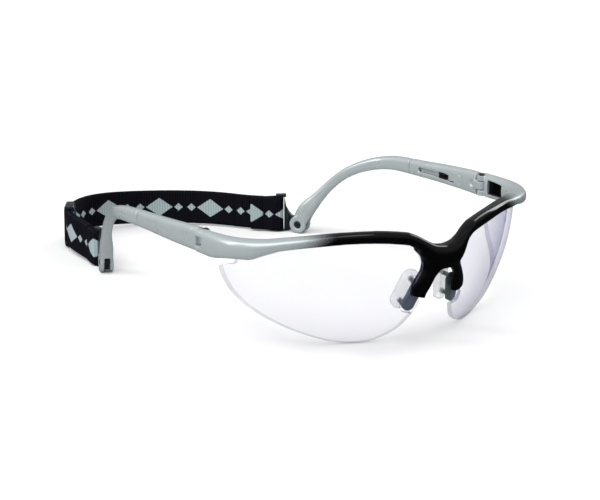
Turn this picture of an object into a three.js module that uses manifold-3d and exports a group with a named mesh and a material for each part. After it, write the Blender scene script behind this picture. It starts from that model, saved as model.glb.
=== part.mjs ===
// Sports protective goggles with telescopic temples and an elastic head strap.
// Millimetres, +Z up. The goggles look towards -Y and the wearer's left is +X.
// They stand as they do on a table: on the lower edges of the lenses and the tips of the temples.
import * as THREE from 'three';
import { mergeVertices } from 'three/addons/utils/BufferGeometryUtils.js';
import Module from 'manifold-3d';

const wasm = await Module();
wasm.setup();

// ---------------------------------------------------------------- driving dimensions
const GAP = 0.3;                  // clearance between pieces that touch or run in each other
const HALF_WIDTH = 74;            // from the middle of the bridge to the outer face of a temple
const FRONT_DEPTH = 63;           // from the front of the bridge to the hinge axis
const BRIDGE_Y = -22.5;           // front of the bridge
const HINGE_Y = BRIDGE_Y + FRONT_DEPTH;
const BROW_Z = 47.3;              // highest line of the brow bar
const BAR_HEIGHT = 4.6;           // height of the brow bar over a lens
const BRIDGE_HEIGHT = 9.8;
const NOSE_GAP = 13.4;            // between the inner corners of the two nose arms
const NOSE_ARM_LENGTH = 20;       // from the underside of the brow bar to the tip of a nose arm
const NOSE_ARM_WIDTH = 5.2;
const NOSE_ARM_DEPTH = 4.4;
const LENS_THICKNESS = 2.2;
const LENS_SAG_RADIUS = 81;       // vertical curve of a lens
const GROOVE_DEPTH = 1.6;         // how far a lens reaches into the brow bar
const TEMPLE_THICKNESS = 4.4;
const TEMPLE_Z = 39.5;            // hinge line above the table
const HINGE_HEIGHT = 9.8;         // height of the end-piece and of the sleeve at the hinge
const SEAM_HEIGHT = 6.8;          // height of the temple where arm and sleeve meet
const SLEEVE_LENGTH = 44.8;       // from the hinge axis to the seam
const LENGTH_TRAVEL = 6;          // how far the arm pulls out of the sleeve
const TONGUE_LENGTH = 25;         // part of the arm that stays inside the sleeve
const TONGUE_HEIGHT = 2.8;
const TONGUE_THICKNESS = 1.4;
const KNUCKLE_RADIUS = 1.9;
const KNUCKLE_HEIGHT = 3.4;
const PIN_RADIUS = 0.75;
const PIN_HEAD_RADIUS = 1.25;
const PIN_HEAD_DEPTH = 0.9;         // seat of the pin's head in the upper ear
const FORK_RADIUS = 3.9;          // rounded end of a temple
const FORK_THICKNESS = 5.6;
const FORK_PIN_RADIUS = 1.6;
const TAB_THICKNESS = 1.9;        // strap clip between the cheeks of the fork
const WEBBING_WIDTH = 15;
const WEBBING_THICKNESS = 1.4;
const CLIP_BAR = 1.6;             // bar of the strap clip that the webbing loops around
const PAD_SIZE = [17, 7.4, 3.2];  // length, width and thickness of a nose pad
const PAD_STANDOFF = 2.6;         // from a pad holder to the pad that its pegs carry
const HOLDER_SIZE = [13.4, 4.8, 2.4];
const PAD_TILT = 8;               // degrees that a pad holder tilts each way

const V = (x, y, z) => new THREE.Vector3(x, y, z);
const UP = V(0, 0, 1);
const mix = THREE.MathUtils.lerp;

// ---------------------------------------------------------------- solids from three.js geometry
function toSolid(source) {
  const geometry = new THREE.BufferGeometry();
  geometry.setAttribute('position', source.getAttribute('position').clone());
  if (source.index) geometry.setIndex(source.index.clone());
  const merged = mergeVertices(geometry, 1e-4);
  return new wasm.Manifold(new wasm.Mesh({
    numProp: 3,
    vertProperties: new Float32Array(merged.attributes.position.array),
    triVerts: new Uint32Array(merged.index.array),
  }));
}

function toGeometry(solid) {
  const { vertProperties, triVerts } = solid.getMesh();
  const geometry = new THREE.BufferGeometry();
  geometry.setAttribute('position', new THREE.BufferAttribute(new Float32Array(vertProperties), 3));
  geometry.setIndex(new THREE.BufferAttribute(new Uint32Array(triVerts), 1));
  geometry.computeVertexNormals();
  return geometry;
}

// The other side's copy of a geometry: x changes sign, and so does the turn of each face.
function mirrored(source) {
  const geometry = source.clone().scale(-1, 1, 1);
  const index = geometry.index.array;
  for (let i = 0; i < index.length; i += 3) [index[i], index[i + 1]] = [index[i + 1], index[i]];
  geometry.computeVertexNormals();
  return geometry;
}

// Joins rings that have the same number of points into one closed skin.
function loft(rings) {
  const n = rings[0].length;
  const points = rings.flat();
  const index = [];
  for (let r = 0; r + 1 < rings.length; r++) {
    for (let i = 0; i < n; i++) {
      const [a, b] = [r * n + i, r * n + (i + 1) % n];
      index.push(a, b, b + n, a, b + n, a + n);
    }
  }
  for (const first of [true, false]) {
    const ring = first ? rings[0] : rings.at(-1);
    const start = first ? 0 : points.length - n;
    for (const [a, b, c] of capTriangles(ring)) {
      index.push(...(first ? [start + c, start + b, start + a] : [start + a, start + b, start + c]));
    }
  }
  const geometry = new THREE.BufferGeometry().setFromPoints(points);
  geometry.setIndex(signedVolume(points, index) < 0 ? flipped(index) : index);
  return toSolid(geometry);
}

function capTriangles(ring) {
  const normal = V(0, 0, 0);
  ring.forEach((p, i) => normal.add(p.clone().cross(ring[(i + 1) % ring.length])));
  normal.normalize();
  const across = ring[1].clone().sub(ring[0]).projectOnPlane(normal).normalize();
  const along = normal.clone().cross(across);
  const flat = ring.map((p) => new THREE.Vector2(p.dot(across), p.dot(along)));
  return THREE.ShapeUtils.triangulateShape(flat, []);
}

function signedVolume(points, index) {
  let sum = 0;
  for (let i = 0; i < index.length; i += 3) {
    const [a, b, c] = [0, 1, 2].map((k) => points[index[i + k]]);
    sum += a.dot(b.clone().cross(c));
  }
  return sum;
}

function flipped(index) {
  const out = [];
  for (let i = 0; i < index.length; i += 3) out.push(index[i], index[i + 2], index[i + 1]);
  return out;
}

// A ring with rounded corners: squareness 2 is an ellipse, and larger values come nearer a rectangle.
function roundRing(centre, side, up, halfSide, halfUp, squareness = 3, count = 16) {
  return Array.from({ length: count }, (_, i) => {
    const t = ((i + 0.5) / count) * 2 * Math.PI;
    const bend = (v) => Math.sign(v) * Math.abs(v) ** (2 / squareness);
    return centre.clone()
      .addScaledVector(side, halfSide * bend(Math.cos(t)))
      .addScaledVector(up, halfUp * bend(Math.sin(t)));
  });
}

// A box from its lowest and highest corners.
function block(low, high) {
  const box = new THREE.Box3(V(...low), V(...high));
  const [size, centre] = [box.getSize(V(0, 0, 0)), box.getCenter(V(0, 0, 0))];
  return toSolid(new THREE.BoxGeometry(size.x, size.y, size.z).translate(centre.x, centre.y, centre.z));
}

// A cylinder whose axis runs along a direction through a centre.
function disc(centre, direction, radius, thickness, sides = 24) {
  const geometry = new THREE.CylinderGeometry(radius, radius, thickness, sides);
  geometry.applyQuaternion(new THREE.Quaternion().setFromUnitVectors(V(0, 1, 0), direction));
  return toSolid(geometry.translate(centre.x, centre.y, centre.z));
}

// A value read from [place, value] pairs, with a smooth curve between them.
function profile(pairs) {
  const curve = new THREE.CatmullRomCurve3(pairs.map(([s, v]) => V(s, v, 0)), false, 'centripetal');
  return (s) => {
    let [low, high] = [0, 1];
    for (let i = 0; i < 24; i++) {
      const middle = (low + high) / 2;
      if (curve.getPoint(middle).x < s) low = middle;
      else high = middle;
    }
    return curve.getPoint(low).y;
  };
}

// ---------------------------------------------------------------- stations of the front
// Front and back edge of the moulding in plan, from the bridge to the hinge, for the wearer's left.
const HINGE_X = HALF_WIDTH - 4.1;
const wide = (x) => x * (HALF_WIDTH / 74);
const deep = (y) => BRIDGE_Y + (y + 22.5) * (FRONT_DEPTH / 63);
const plan = (pairs) => new THREE.CatmullRomCurve3(
  pairs.map(([x, y]) => V(wide(x), deep(y), 0)), false, 'centripetal');
const FRONT_EDGE = plan([[0, -22.5], [5, -22], [9, -20.8], [12, -19.6], [16, -18], [28, -13.4], [40.9, -6.9],
  [52, -1.9], [61, 4.3], [66.2, 8.8], [69.8, 13.2], [72.4, 18.6], [73.6, 25], [74, 33], [73.9, 40.5]]);
const BACK_EDGE = plan([[0, -14.4], [4.6, -14.4], [8.4, -14.2], [11, -13.7], [14.4, -12.9], [25.8, -8.8],
  [38, -2.2], [48, 3.6], [56, 9.8], [60.2, 14], [63.2, 18], [65.8, 22.6], [67.6, 27.4], [68.6, 33.6],
  [69.2, 40.5]]);
const STATIONS = FRONT_EDGE.points.length;
const barTop = [BROW_Z - 7.7, BROW_Z - 6.9, BROW_Z - 4.8, BROW_Z - 3.1, BROW_Z - 1.5, BROW_Z, BROW_Z - 0.1,
  BROW_Z - 0.7, BROW_Z - 1.6, BROW_Z - 2.2, BROW_Z - 2.4, BROW_Z - 2.6, BROW_Z - 2.7, BROW_Z - 2.8,
  TEMPLE_Z + HINGE_HEIGHT / 2];
const BAR_LOW = BROW_Z - BAR_HEIGHT;
const END_LOW = TEMPLE_Z - HINGE_HEIGHT / 2;
const barBottom = [barTop[0] - BRIDGE_HEIGHT, barTop[1] - BRIDGE_HEIGHT - 0.4, BAR_LOW - 9.3, BAR_LOW - 4.3,
  BAR_LOW - 2, BAR_LOW - 0.5, BAR_LOW - 0.1, BAR_LOW - 0.4, BAR_LOW - 1.6, BAR_LOW - 3.6, BAR_LOW - 5.6,
  BAR_LOW - 6, END_LOW + 1.3, END_LOW, END_LOW];
const along = (values) => {
  const curve = new THREE.CatmullRomCurve3(values.map((v, i) => V(i, v, 0)), false, 'centripetal');
  return (t) => curve.getPoint(t).y;
};
const topAt = along(barTop);
const bottomAt = along(barBottom);

function barRing(t) {
  const [f, b] = [FRONT_EDGE.getPoint(t), BACK_EDGE.getPoint(t)];
  const [top, bottom] = [topAt(t), bottomAt(t)];
  const centre = V((f.x + b.x) / 2, (f.y + b.y) / 2, (top + bottom) / 2);
  const across = V(f.x - b.x, f.y - b.y, 0);
  const half = across.length() / 2;
  return roundRing(centre, across.normalize(), UP, half, (top - bottom) / 2, 2.7, 14);
}

// ---------------------------------------------------------------- lenses
// A lens hangs from its own line in plan and curves inwards below the bar.
const LENS_LINE = plan([[9.4, -17.2], [16.5, -15.4], [28, -11.2], [40, -4.7], [50, 1.8], [58, 8.8], [63.4, 15.8],
  [66.6, 23], [68.1, 30], [68.4, 34.4]]);
const LENS_TOP = BAR_LOW + GROOVE_DEPTH;
const LENS_HEIGHT = LENS_TOP;     // the lowest point of a lens stands on the table

// Lower and upper edge of the lens: place along the line (0 nasal, 1 temporal), height.
const lensBottom = profile([[0, 15.5], [0.03, 10.8], [0.08, 6], [0.15, 2.6], [0.24, 0.35], [0.31, 0], [0.4, 0.9],
  [0.5, 3.2], [0.6, 6.2], [0.7, 9.6], [0.8, 13.4], [0.88, 17], [0.94, 20.6], [0.98, 24.6], [1, 28.6]]);
const lensTop = profile([[0, LENS_TOP - 10.9], [0.03, LENS_TOP - 6.9], [0.08, LENS_TOP - 3.1],
  [0.14, LENS_TOP - 0.5], [0.3, LENS_TOP], [0.6, LENS_TOP - 0.6], [0.7, LENS_TOP - 2.2], [0.77, LENS_TOP - 5],
  [0.83, LENS_TOP - 6.6], [0.875, LENS_TOP - 8], [0.9, LENS_TOP - 11.4], [0.94, LENS_TOP - 11.9],
  [1, LENS_TOP - 13.7]]);

function lensPoint(s, z, depth) {
  const p = LENS_LINE.getPointAt(s);
  const tangent = LENS_LINE.getTangentAt(s);
  const inward = V(-tangent.y, tangent.x, 0).normalize();
  const drop = LENS_HEIGHT - z;
  return V(p.x, p.y, z).addScaledVector(inward, drop * drop / (2 * LENS_SAG_RADIUS) + depth);
}

// extra makes the blank larger on every side, for the groove that the lens sits in.
function lensBlank(extra = 0) {
  const rows = 6;
  const stops = Array.from({ length: 21 }, (_, i) => (1 - Math.cos((i / 20) * Math.PI)) / 2);
  const rings = stops.map((s) => {
    const heights = Array.from({ length: rows + 1 }, (_, k) =>
      mix(lensBottom(s) - extra, lensTop(s) + extra, k / rows));
    const half = LENS_THICKNESS / 2 + extra;
    return [...heights.map((z) => lensPoint(s, z, -half)),
      ...heights.reverse().map((z) => lensPoint(s, z, half))];
  });
  if (extra > 0) {
    const beyond = (ring, s, sign) => ring.map((p) =>
      p.clone().addScaledVector(LENS_LINE.getTangentAt(s), sign * extra));
    rings.unshift(beyond(rings[0], 0, -1));
    rings.push(beyond(rings.at(-1), 1, 1));
  }
  return loft(rings);
}

// The finished lens has a notch beside the nose, where the pad holder tilts.
function lens() {
  const turns = [-PAD_TILT, 0, PAD_TILT].map((angle) => holderSpace(THREE.MathUtils.degToRad(angle)));
  return turns.reduce((blank, space) => blank.subtract(space), lensBlank());
}

// ---------------------------------------------------------------- front frame
const ARM_TIP_Z = barBottom[4] - NOSE_ARM_LENGTH - 1.4;
const noseArmStations = [
  // height, inner corner, width, y of the inner corner, y of the outer corner
  [0, NOSE_GAP / 2 + 0.7, NOSE_ARM_WIDTH - 0.2, -17.2, -15.7],
  [0.35, NOSE_GAP / 2 + 0.7, NOSE_ARM_WIDTH, -17.4, -15.8],
  [4.1, NOSE_GAP / 2 - 0.4, NOSE_ARM_WIDTH + 0.8, -19.3, -16.6],
  [7.8, NOSE_GAP / 2 - 1.5, NOSE_ARM_WIDTH + 0.5, -20.8, -17.4],
  [11.6, NOSE_GAP / 2 - 4.5, NOSE_ARM_WIDTH + 2, -22, -18.2],
  [15.6, NOSE_GAP / 2 - 5.4, NOSE_ARM_WIDTH + 2.8, -22.2, -18.2],
  [19.4, NOSE_GAP / 2 - 5.5, NOSE_ARM_WIDTH + 6.2, -22.2, -17.5],
];

function noseArm() {
  return loft(noseArmStations.map(([rise, inner, width, innerY, outerY]) => {
    const [a, b] = [V(inner, deep(innerY), 0), V(inner + width, deep(outerY), 0)];
    const across = b.clone().sub(a);
    const tilt = rise < 1 ? V(0, 0, 1.4) : V(0, 0, 0);
    const centre = a.clone().add(b).multiplyScalar(0.5);
    centre.y += NOSE_ARM_DEPTH / 2;
    centre.z = ARM_TIP_Z + rise;
    const half = across.length() / 2;
    across.normalize().addScaledVector(tilt, 1 / (2 * half));
    return roundRing(centre, across, V(0, 1, 0), half, NOSE_ARM_DEPTH / 2, 3.2, 12);
  }));
}

const HINGE = V(HINGE_X, HINGE_Y, TEMPLE_Z);
const EAR_END = KNUCKLE_RADIUS + 0.3;        // how far the ears reach behind the axis
const SLEEVE_START = EAR_END + GAP + 0.1;

// The space that the sleeve's knuckle turns in, between the ears of the end-piece.
function knuckleSlot() {
  const half = KNUCKLE_HEIGHT / 2 + GAP;
  return block([HINGE_X - 8, HINGE_Y - KNUCKLE_RADIUS - 0.5, TEMPLE_Z - half],
    [HINGE_X + 8, HINGE_Y + 8, TEMPLE_Z + half]);
}

// Half of the moulding, from just past the middle of the bridge to the hinge.
function halfFrame() {
  const count = (STATIONS - 1) * 3;
  const rings = Array.from({ length: count + 1 }, (_, i) => barRing(i / count));
  const overlap = rings[0].map((p) => p.clone().setX(-0.5));
  let half = loft([overlap, ...rings]).add(noseArm()).add(ears());
  const seat = HINGE.clone().setZ(TEMPLE_Z + HINGE_HEIGHT / 2);
  for (const cut of [lensBlank(GAP), knuckleSlot(), disc(HINGE, UP, PIN_RADIUS + GAP, 40), pocket(), studHole(),
    disc(seat, UP, PIN_HEAD_RADIUS + GAP, 2 * PIN_HEAD_DEPTH)]) {
    half = half.subtract(cut);
  }
  return half;
}

function frontFrame() {
  const half = halfFrame();
  return half.add(toSolid(mirrored(toGeometry(half))));
}

// Two ears behind the end of the bar, rounded about the pin on their inner side.
function ears() {
  const [f, b] = [FRONT_EDGE.getPoint(1), BACK_EDGE.getPoint(1)];
  const half = HINGE_HEIGHT / 2 - 0.25;
  const body = loft([-1.2, EAR_END].map((y) => roundRing(
    V((f.x + HINGE_X) / 2, HINGE_Y + y, TEMPLE_Z), V(1, 0, 0), UP, (f.x - HINGE_X) / 2, half, 3.2)));
  const barrel = disc(HINGE, UP, HINGE_X - b.x + 0.2 + KNUCKLE_RADIUS * 0.5, HINGE_HEIGHT - 1.2);
  return body.add(barrel);
}

// Shallow pocket in the inner face of the end-piece, in front of the hinge.
function pocket() {
  return block([HINGE_X - 8, HINGE_Y - 15.5, TEMPLE_Z - 3], [HINGE_X + 0.4, HINGE_Y - 4.6, TEMPLE_Z + 3]);
}

// ---------------------------------------------------------------- nose pads
const PAD_AXIS = V(0.31, 0.37, -1).normalize();
const PAD_FACE = V(-0.24, 0.97, 0).projectOnPlane(PAD_AXIS).normalize();
const PAD_WIDE = PAD_AXIS.clone().cross(PAD_FACE).normalize();
const PIVOT = V(NOSE_GAP / 2 + 2.4, deep(-13.6), ARM_TIP_Z + 3.2);
const HOLDER_CENTRE = PIVOT.clone().add(V(1, HOLDER_SIZE[2], -3.2)).addScaledVector(PAD_WIDE, -0.6);
const PAD_CENTRE = HOLDER_CENTRE.clone()
  .addScaledVector(PAD_FACE, HOLDER_SIZE[2] / 2 + PAD_SIZE[2] / 2 + PAD_STANDOFF)
  .addScaledVector(PAD_WIDE, 1.1)
  .addScaledVector(PAD_AXIS, 0.6);
const STUD_RADIUS = 1.1;
const PEG_RADIUS = 0.85;
const PEG_SIDES = 10;

// A slab with a stadium outline, rounded along its rim.
function stadium(centre, [length, width, thickness], rim) {
  const outline = (inset) => {
    const shape = [];
    const radius = width / 2 - inset;
    const straight = (length - width) / 2;
    for (let i = 0; i < 24; i++) {
      const t = (i + 0.5) / 24 * 2 * Math.PI;
      const end = Math.cos(t) > 0 ? straight : -straight;
      shape.push([end + radius * Math.cos(t), radius * Math.sin(t)]);
    }
    return shape;
  };
  const layers = [[-0.5, rim], [-0.5 + rim / thickness * 0.8, 0], [0.5 - rim / thickness * 0.8, 0], [0.5, rim]];
  return loft(layers.map(([level, inset]) => outline(inset).map(([a, b]) => centre.clone()
    .addScaledVector(PAD_AXIS, a).addScaledVector(PAD_WIDE, b)
    .addScaledVector(PAD_FACE, level * thickness))));
}

const pegCentres = [-1, 1].map((end) => PAD_CENTRE.clone()
  .addScaledVector(PAD_AXIS, end * (PAD_SIZE[0] * 0.29)));

function pegs(radius, depth) {
  return pegCentres.map((p) => {
    const reach = HOLDER_SIZE[2] * 0.6 + PAD_STANDOFF + depth;
    const middle = p.clone().addScaledVector(PAD_FACE, -PAD_SIZE[2] / 2 + depth - reach / 2);
    return disc(middle, PAD_FACE, radius, reach, PEG_SIDES);
  });
}

// The seat in the back of the nose arm that the holder tilts on, with the blind hole for its stud.
function studHole() {
  const seat = block([0, PIVOT.y + GAP, PIVOT.z - 10], [NOSE_GAP, PIVOT.y + 10, PIVOT.z + 8]);
  return seat.add(disc(V(PIVOT.x, PIVOT.y - 0.6, PIVOT.z), V(0, 1, 0), STUD_RADIUS + GAP, 4.4, 20));
}

function nosePadHolder() {
  const wall = PIVOT.y + 2 * GAP;             // the plate stays behind the nose arm
  let holder = stadium(HOLDER_CENTRE, HOLDER_SIZE, 0.5);
  for (const peg of pegs(PEG_RADIUS, 1.4)) holder = holder.add(peg);
  holder = holder.subtract(block([-30, wall - 30, -5], [30, wall, 60]));
  return holder.add(disc(V(PIVOT.x, PIVOT.y + 0.7, PIVOT.z), V(0, 1, 0), STUD_RADIUS, 4.4, 16));
}

// The room that the holder needs when it is tilted by an angle about its stud.
function holderSpace(angle) {
  const [length, width, thickness] = HOLDER_SIZE.map((size) => size + 4 * GAP);
  const turn = (source) => {
    const geometry = toGeometry(source).translate(-PIVOT.x, -PIVOT.y, -PIVOT.z);
    return toSolid(geometry.rotateY(angle).translate(PIVOT.x, PIVOT.y, PIVOT.z));
  };
  return turn(stadium(HOLDER_CENTRE, [length, width, thickness + GAP], 0.2)
    .add(disc(V(PIVOT.x, PIVOT.y + 1, PIVOT.z), V(0, 1, 0), STUD_RADIUS + 2 * GAP, 6, 16)));
}

function nosePad() {
  let pad = stadium(PAD_CENTRE, PAD_SIZE, 1.1);
  for (const socket of pegs(PEG_RADIUS + GAP, 1.4 + GAP)) pad = pad.subtract(socket);
  return pad;
}

// ---------------------------------------------------------------- temples
const SEAM_Y = HINGE_Y + SLEEVE_LENGTH;
// The channel lies a little inside the middle of the sleeve.
const CHANNEL = { x: HINGE_X + 0.1, z: TEMPLE_Z - 0.9, y: SEAM_Y - TONGUE_LENGTH - 3 };

// Middle line of the sleeve, from its start to the seam: distance behind the hinge, x and z from the hinge.
const sleeveStations = [[SLEEVE_START, 0.75, 0, HINGE_HEIGHT], [8, 1.05, -0.05, HINGE_HEIGHT - 0.3],
  [16, 1.15, -0.25, HINGE_HEIGHT - 0.9], [26, 0.95, -0.5, HINGE_HEIGHT - 1.7],
  [36, 0.35, -0.8, mix(HINGE_HEIGHT, SEAM_HEIGHT, 0.84)], [SLEEVE_LENGTH, -0.1, -1.1, SEAM_HEIGHT]];

function templeSleeve() {
  let sleeve = loft(sleeveStations.map(([y, x, z, height]) => roundRing(
    V(HINGE_X + x, HINGE_Y + y, TEMPLE_Z + z), V(1, 0, 0), UP, TEMPLE_THICKNESS / 2, height / 2, 3, 12)));
  const knuckle = disc(HINGE, UP, KNUCKLE_RADIUS, KNUCKLE_HEIGHT)
    .add(block([HINGE_X - KNUCKLE_RADIUS + 0.1, HINGE_Y, TEMPLE_Z - KNUCKLE_HEIGHT / 2],
      [HINGE_X + KNUCKLE_RADIUS - 0.1, HINGE_Y + SLEEVE_START + 1, TEMPLE_Z + KNUCKLE_HEIGHT / 2]));
  sleeve = sleeve.add(knuckle).subtract(disc(HINGE, UP, PIN_RADIUS + GAP, 20));
  return sleeve.subtract(channel()).subtract(catchWindow());
}

// The hollow that the tongue of the arm slides in, open at the seam.
function channel() {
  const [halfX, halfZ] = [TONGUE_THICKNESS / 2 + GAP, TONGUE_HEIGHT / 2 + GAP];
  return block([CHANNEL.x - halfX, CHANNEL.y, CHANNEL.z - halfZ],
    [CHANNEL.x + halfX, SEAM_Y + 2, CHANNEL.z + halfZ]);
}

const CATCH_LENGTH = 5.6;
const CATCH_Y = SEAM_Y - TONGUE_LENGTH + 1.4 + CATCH_LENGTH / 2;
const NUB_HEIGHT = 1.3;

// A window over the catch and a narrower slot for the travel of its nub, through the inner wall.
function catchWindow() {
  const x = [CHANNEL.x - 6, CHANNEL.x];
  const window = block([x[0], CATCH_Y - 2.6, CHANNEL.z - 1.3], [x[1], CATCH_Y + 2.6, CHANNEL.z + 1.3]);
  const slot = block([x[0], CATCH_Y - 4.4, CHANNEL.z - NUB_HEIGHT / 2 - GAP],
    [x[1], CATCH_Y + LENGTH_TRAVEL + 9, CHANNEL.z + NUB_HEIGHT / 2 + GAP]);
  return window.add(slot);
}

function lengthCatch() {
  const half = TONGUE_THICKNESS / 2;
  const body = block([CHANNEL.x - half, CATCH_Y - CATCH_LENGTH / 2, CHANNEL.z - TONGUE_HEIGHT / 2 + 0.35],
    [CHANNEL.x + half - 0.75, CATCH_Y + CATCH_LENGTH / 2, CHANNEL.z + TONGUE_HEIGHT / 2 - 0.35]);
  const nub = block([CHANNEL.x - half - 0.7, CATCH_Y - 1.6, CHANNEL.z - NUB_HEIGHT / 2],
    [CHANNEL.x - half + 0.1, CATCH_Y + 1.6, CHANNEL.z + NUB_HEIGHT / 2]);
  return body.add(nub);
}

// Middle line of the arm: from the seam back over the ear, then down to the pin of the fork.
const PIN_Z = FORK_RADIUS - 0.2;
const armLine = new THREE.CatmullRomCurve3([
  [HINGE_X - 0.1, SEAM_Y + GAP, TEMPLE_Z - 1.1], [HINGE_X - 0.2, SEAM_Y + 5, TEMPLE_Z - 1.3],
  [HINGE_X - 0.8, SEAM_Y + 12, TEMPLE_Z - 1.8], [HINGE_X - 2.0, SEAM_Y + 18.5, TEMPLE_Z - 2.9],
  [HINGE_X - 4.4, SEAM_Y + 25.2, TEMPLE_Z - 4.8], [HINGE_X - 7, SEAM_Y + 31.6, TEMPLE_Z - 7.6],
  [HINGE_X - 9.4, SEAM_Y + 38, TEMPLE_Z - 11.7], [HINGE_X - 12, SEAM_Y + 44.2, TEMPLE_Z - 17.6],
  [HINGE_X - 14.9, SEAM_Y + 49.4, TEMPLE_Z - 24.2], [HINGE_X - 17.2, SEAM_Y + 53.2, mix(PIN_Z, TEMPLE_Z, 0.18)],
  [HINGE_X - 18.6, SEAM_Y + 56, PIN_Z]].map((p) => V(...p)), false, 'centripetal');
const armHeight = profile([[0, SEAM_HEIGHT], [0.12, 6.3], [0.3, 5.4], [0.5, 4.5], [0.66, 4.2], [0.78, 5],
  [0.86, 6.7], [0.94, 7.4], [1, FORK_RADIUS * 2 - 0.3]]);
const armThickness = profile([[0, TEMPLE_THICKNESS], [0.3, 4.2], [0.6, 4], [0.78, 4.6], [0.9, FORK_THICKNESS],
  [1, FORK_THICKNESS]]);
const PIN = armLine.getPoint(1);
const PLAN_ANGLE = 24.4 * Math.PI / 180;          // how far the rear of the arm turns inwards
const FORK_SIDE = V(Math.cos(PLAN_ANGLE), Math.sin(PLAN_ANGLE), 0);
const FORK_BACK = V(-Math.sin(PLAN_ANGLE), Math.cos(PLAN_ANGLE), 0);
const SLOT_RADIUS = 6.2;

function armRing(t) {
  const tangent = armLine.getTangentAt(t);
  const turn = THREE.MathUtils.smoothstep(t, 0.1, 0.4) * PLAN_ANGLE;
  const side = V(Math.cos(turn), Math.sin(turn), 0).projectOnPlane(tangent).normalize();
  const up = side.clone().cross(tangent).normalize();
  return roundRing(armLine.getPointAt(t), side, up, armThickness(t) / 2, armHeight(t) / 2, 3, 12);
}

function templeArm() {
  let arm = loft(Array.from({ length: 21 }, (_, i) => armRing(i / 20)));
  arm = arm.add(disc(PIN, FORK_SIDE, FORK_RADIUS, FORK_THICKNESS, 28)).add(tongue());
  arm = arm.subtract(disc(PIN, FORK_SIDE, SLOT_RADIUS, TAB_THICKNESS + 2 * GAP, 28));
  arm = arm.subtract(disc(PIN, FORK_SIDE, FORK_PIN_RADIUS + GAP / 2, 20));
  return arm.subtract(block([0, 60, -20], [150, 260, 0]));
}

function tongue() {
  const [halfX, halfZ] = [TONGUE_THICKNESS / 2, TONGUE_HEIGHT / 2];
  const front = SEAM_Y - TONGUE_LENGTH;
  const bar = block([CHANNEL.x - halfX, front, CHANNEL.z - halfZ],
    [CHANNEL.x + halfX, SEAM_Y + 2, CHANNEL.z + halfZ]);
  const seat = block([CHANNEL.x - halfX - 1, CATCH_Y - CATCH_LENGTH / 2 - GAP, CHANNEL.z - halfZ - 1],
    [CHANNEL.x + halfX - 0.45, CATCH_Y + CATCH_LENGTH / 2 + GAP, CHANNEL.z + halfZ + 1]);
  return bar.subtract(seat);
}

// ---------------------------------------------------------------- pins
function hingePin() {
  const half = HINGE_HEIGHT / 2 - 0.5;
  const [shoulder, top] = [HINGE_HEIGHT / 2 - PIN_HEAD_DEPTH + GAP, HINGE_HEIGHT / 2 - 0.1];
  const outline = [[0, -half], [PIN_RADIUS, -half], [PIN_RADIUS, shoulder], [PIN_HEAD_RADIUS, shoulder],
    [PIN_HEAD_RADIUS, top - 0.2], [PIN_HEAD_RADIUS - 0.3, top], [0, top]];
  const lathe = new THREE.LatheGeometry(outline.map(([r, z]) => new THREE.Vector2(r, z)), 16);
  return toSolid(lathe.rotateX(Math.PI / 2).translate(HINGE.x, HINGE.y, HINGE.z));
}

function forkPin() {
  const half = FORK_THICKNESS / 2 - 0.1;
  const r = FORK_PIN_RADIUS;
  const outline = [[0, -half], [r - 0.2, -half], [r, -half + 0.2], [r, half - 0.2], [r - 0.2, half], [0, half]];
  const lathe = new THREE.LatheGeometry(outline.map(([x, y]) => new THREE.Vector2(x, y)), 20);
  lathe.applyQuaternion(new THREE.Quaternion().setFromUnitVectors(V(0, 1, 0), FORK_SIDE));
  return toSolid(lathe.translate(PIN.x, PIN.y, PIN.z));
}

// ---------------------------------------------------------------- strap clips
// side 1 is the wearer's left. The webbing leaves the two clips in different directions.
const WEBBING_Z = 8;                               // middle of the webbing above the table, at the clips
const clipTurn = { 1: 35, [-1]: -25 };             // degrees from the plane of the fork to the webbing

function clipFrame(side) {
  const back = V(FORK_BACK.x * side, FORK_BACK.y, 0);
  const pin = V(PIN.x * side, PIN.y, PIN.z);
  const run = back.clone().applyAxisAngle(UP, THREE.MathUtils.degToRad(clipTurn[side] * side));
  const knee = pin.clone().addScaledVector(back, SLOT_RADIUS - 0.6);
  const bar = knee.clone().addScaledVector(run, 4.9).setZ(WEBBING_Z);
  return { back, pin, run, knee, bar };
}

function strapClip(side) {
  const { back, pin, run, knee, bar } = clipFrame(side);
  const across = V(FORK_SIDE.x * side, FORK_SIDE.y, 0);
  const half = TAB_THICKNESS / 2;
  const turned = across.clone().applyAxisAngle(UP, THREE.MathUtils.degToRad(clipTurn[side] * side));
  const between = across.clone().add(turned).normalize();
  const plate = loft([
    [pin, across, 0, 2.8, 0.1], [knee.clone().addScaledVector(back, -1.6), across, 0, 3.3, 0.2],
    [knee, between, 0, 4.4, 0.8], [knee.clone().addScaledVector(run, 1.2), turned, 0.3, 6, 1.6],
    [knee.clone().addScaledVector(run, 2), turned, 0.4, 7.4, 2]].map(([p, wideway, grow, high, lift]) =>
    roundRing(V(p.x, p.y, pin.z + lift + (high > 7 ? WEBBING_Z - pin.z - lift : 0)), wideway, UP,
      half + grow, high, 5, 12)));
  let clip = plate.add(disc(pin, across, FORK_RADIUS - 0.9, TAB_THICKNESS, 24));
  const barEnd = WEBBING_WIDTH / 2 + 0.1;
  for (const z of [-1, 1]) {
    const centre = knee.clone().addScaledVector(run, 3.5).setZ(WEBBING_Z + z * (barEnd + 0.55));
    clip = clip.add(loft([-2.2, 2.2].map((d) => roundRing(
      centre.clone().addScaledVector(run, d), turned, UP, 1.1, 0.75, 5, 12))));
  }
  clip = clip.add(disc(bar, UP, CLIP_BAR / 2, 2 * barEnd + 1.2, 14));
  return clip.subtract(disc(pin, across, FORK_PIN_RADIUS + GAP / 2, 20))
    .subtract(block([-200, 0, -20], [200, 300, 0]));
}

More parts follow.
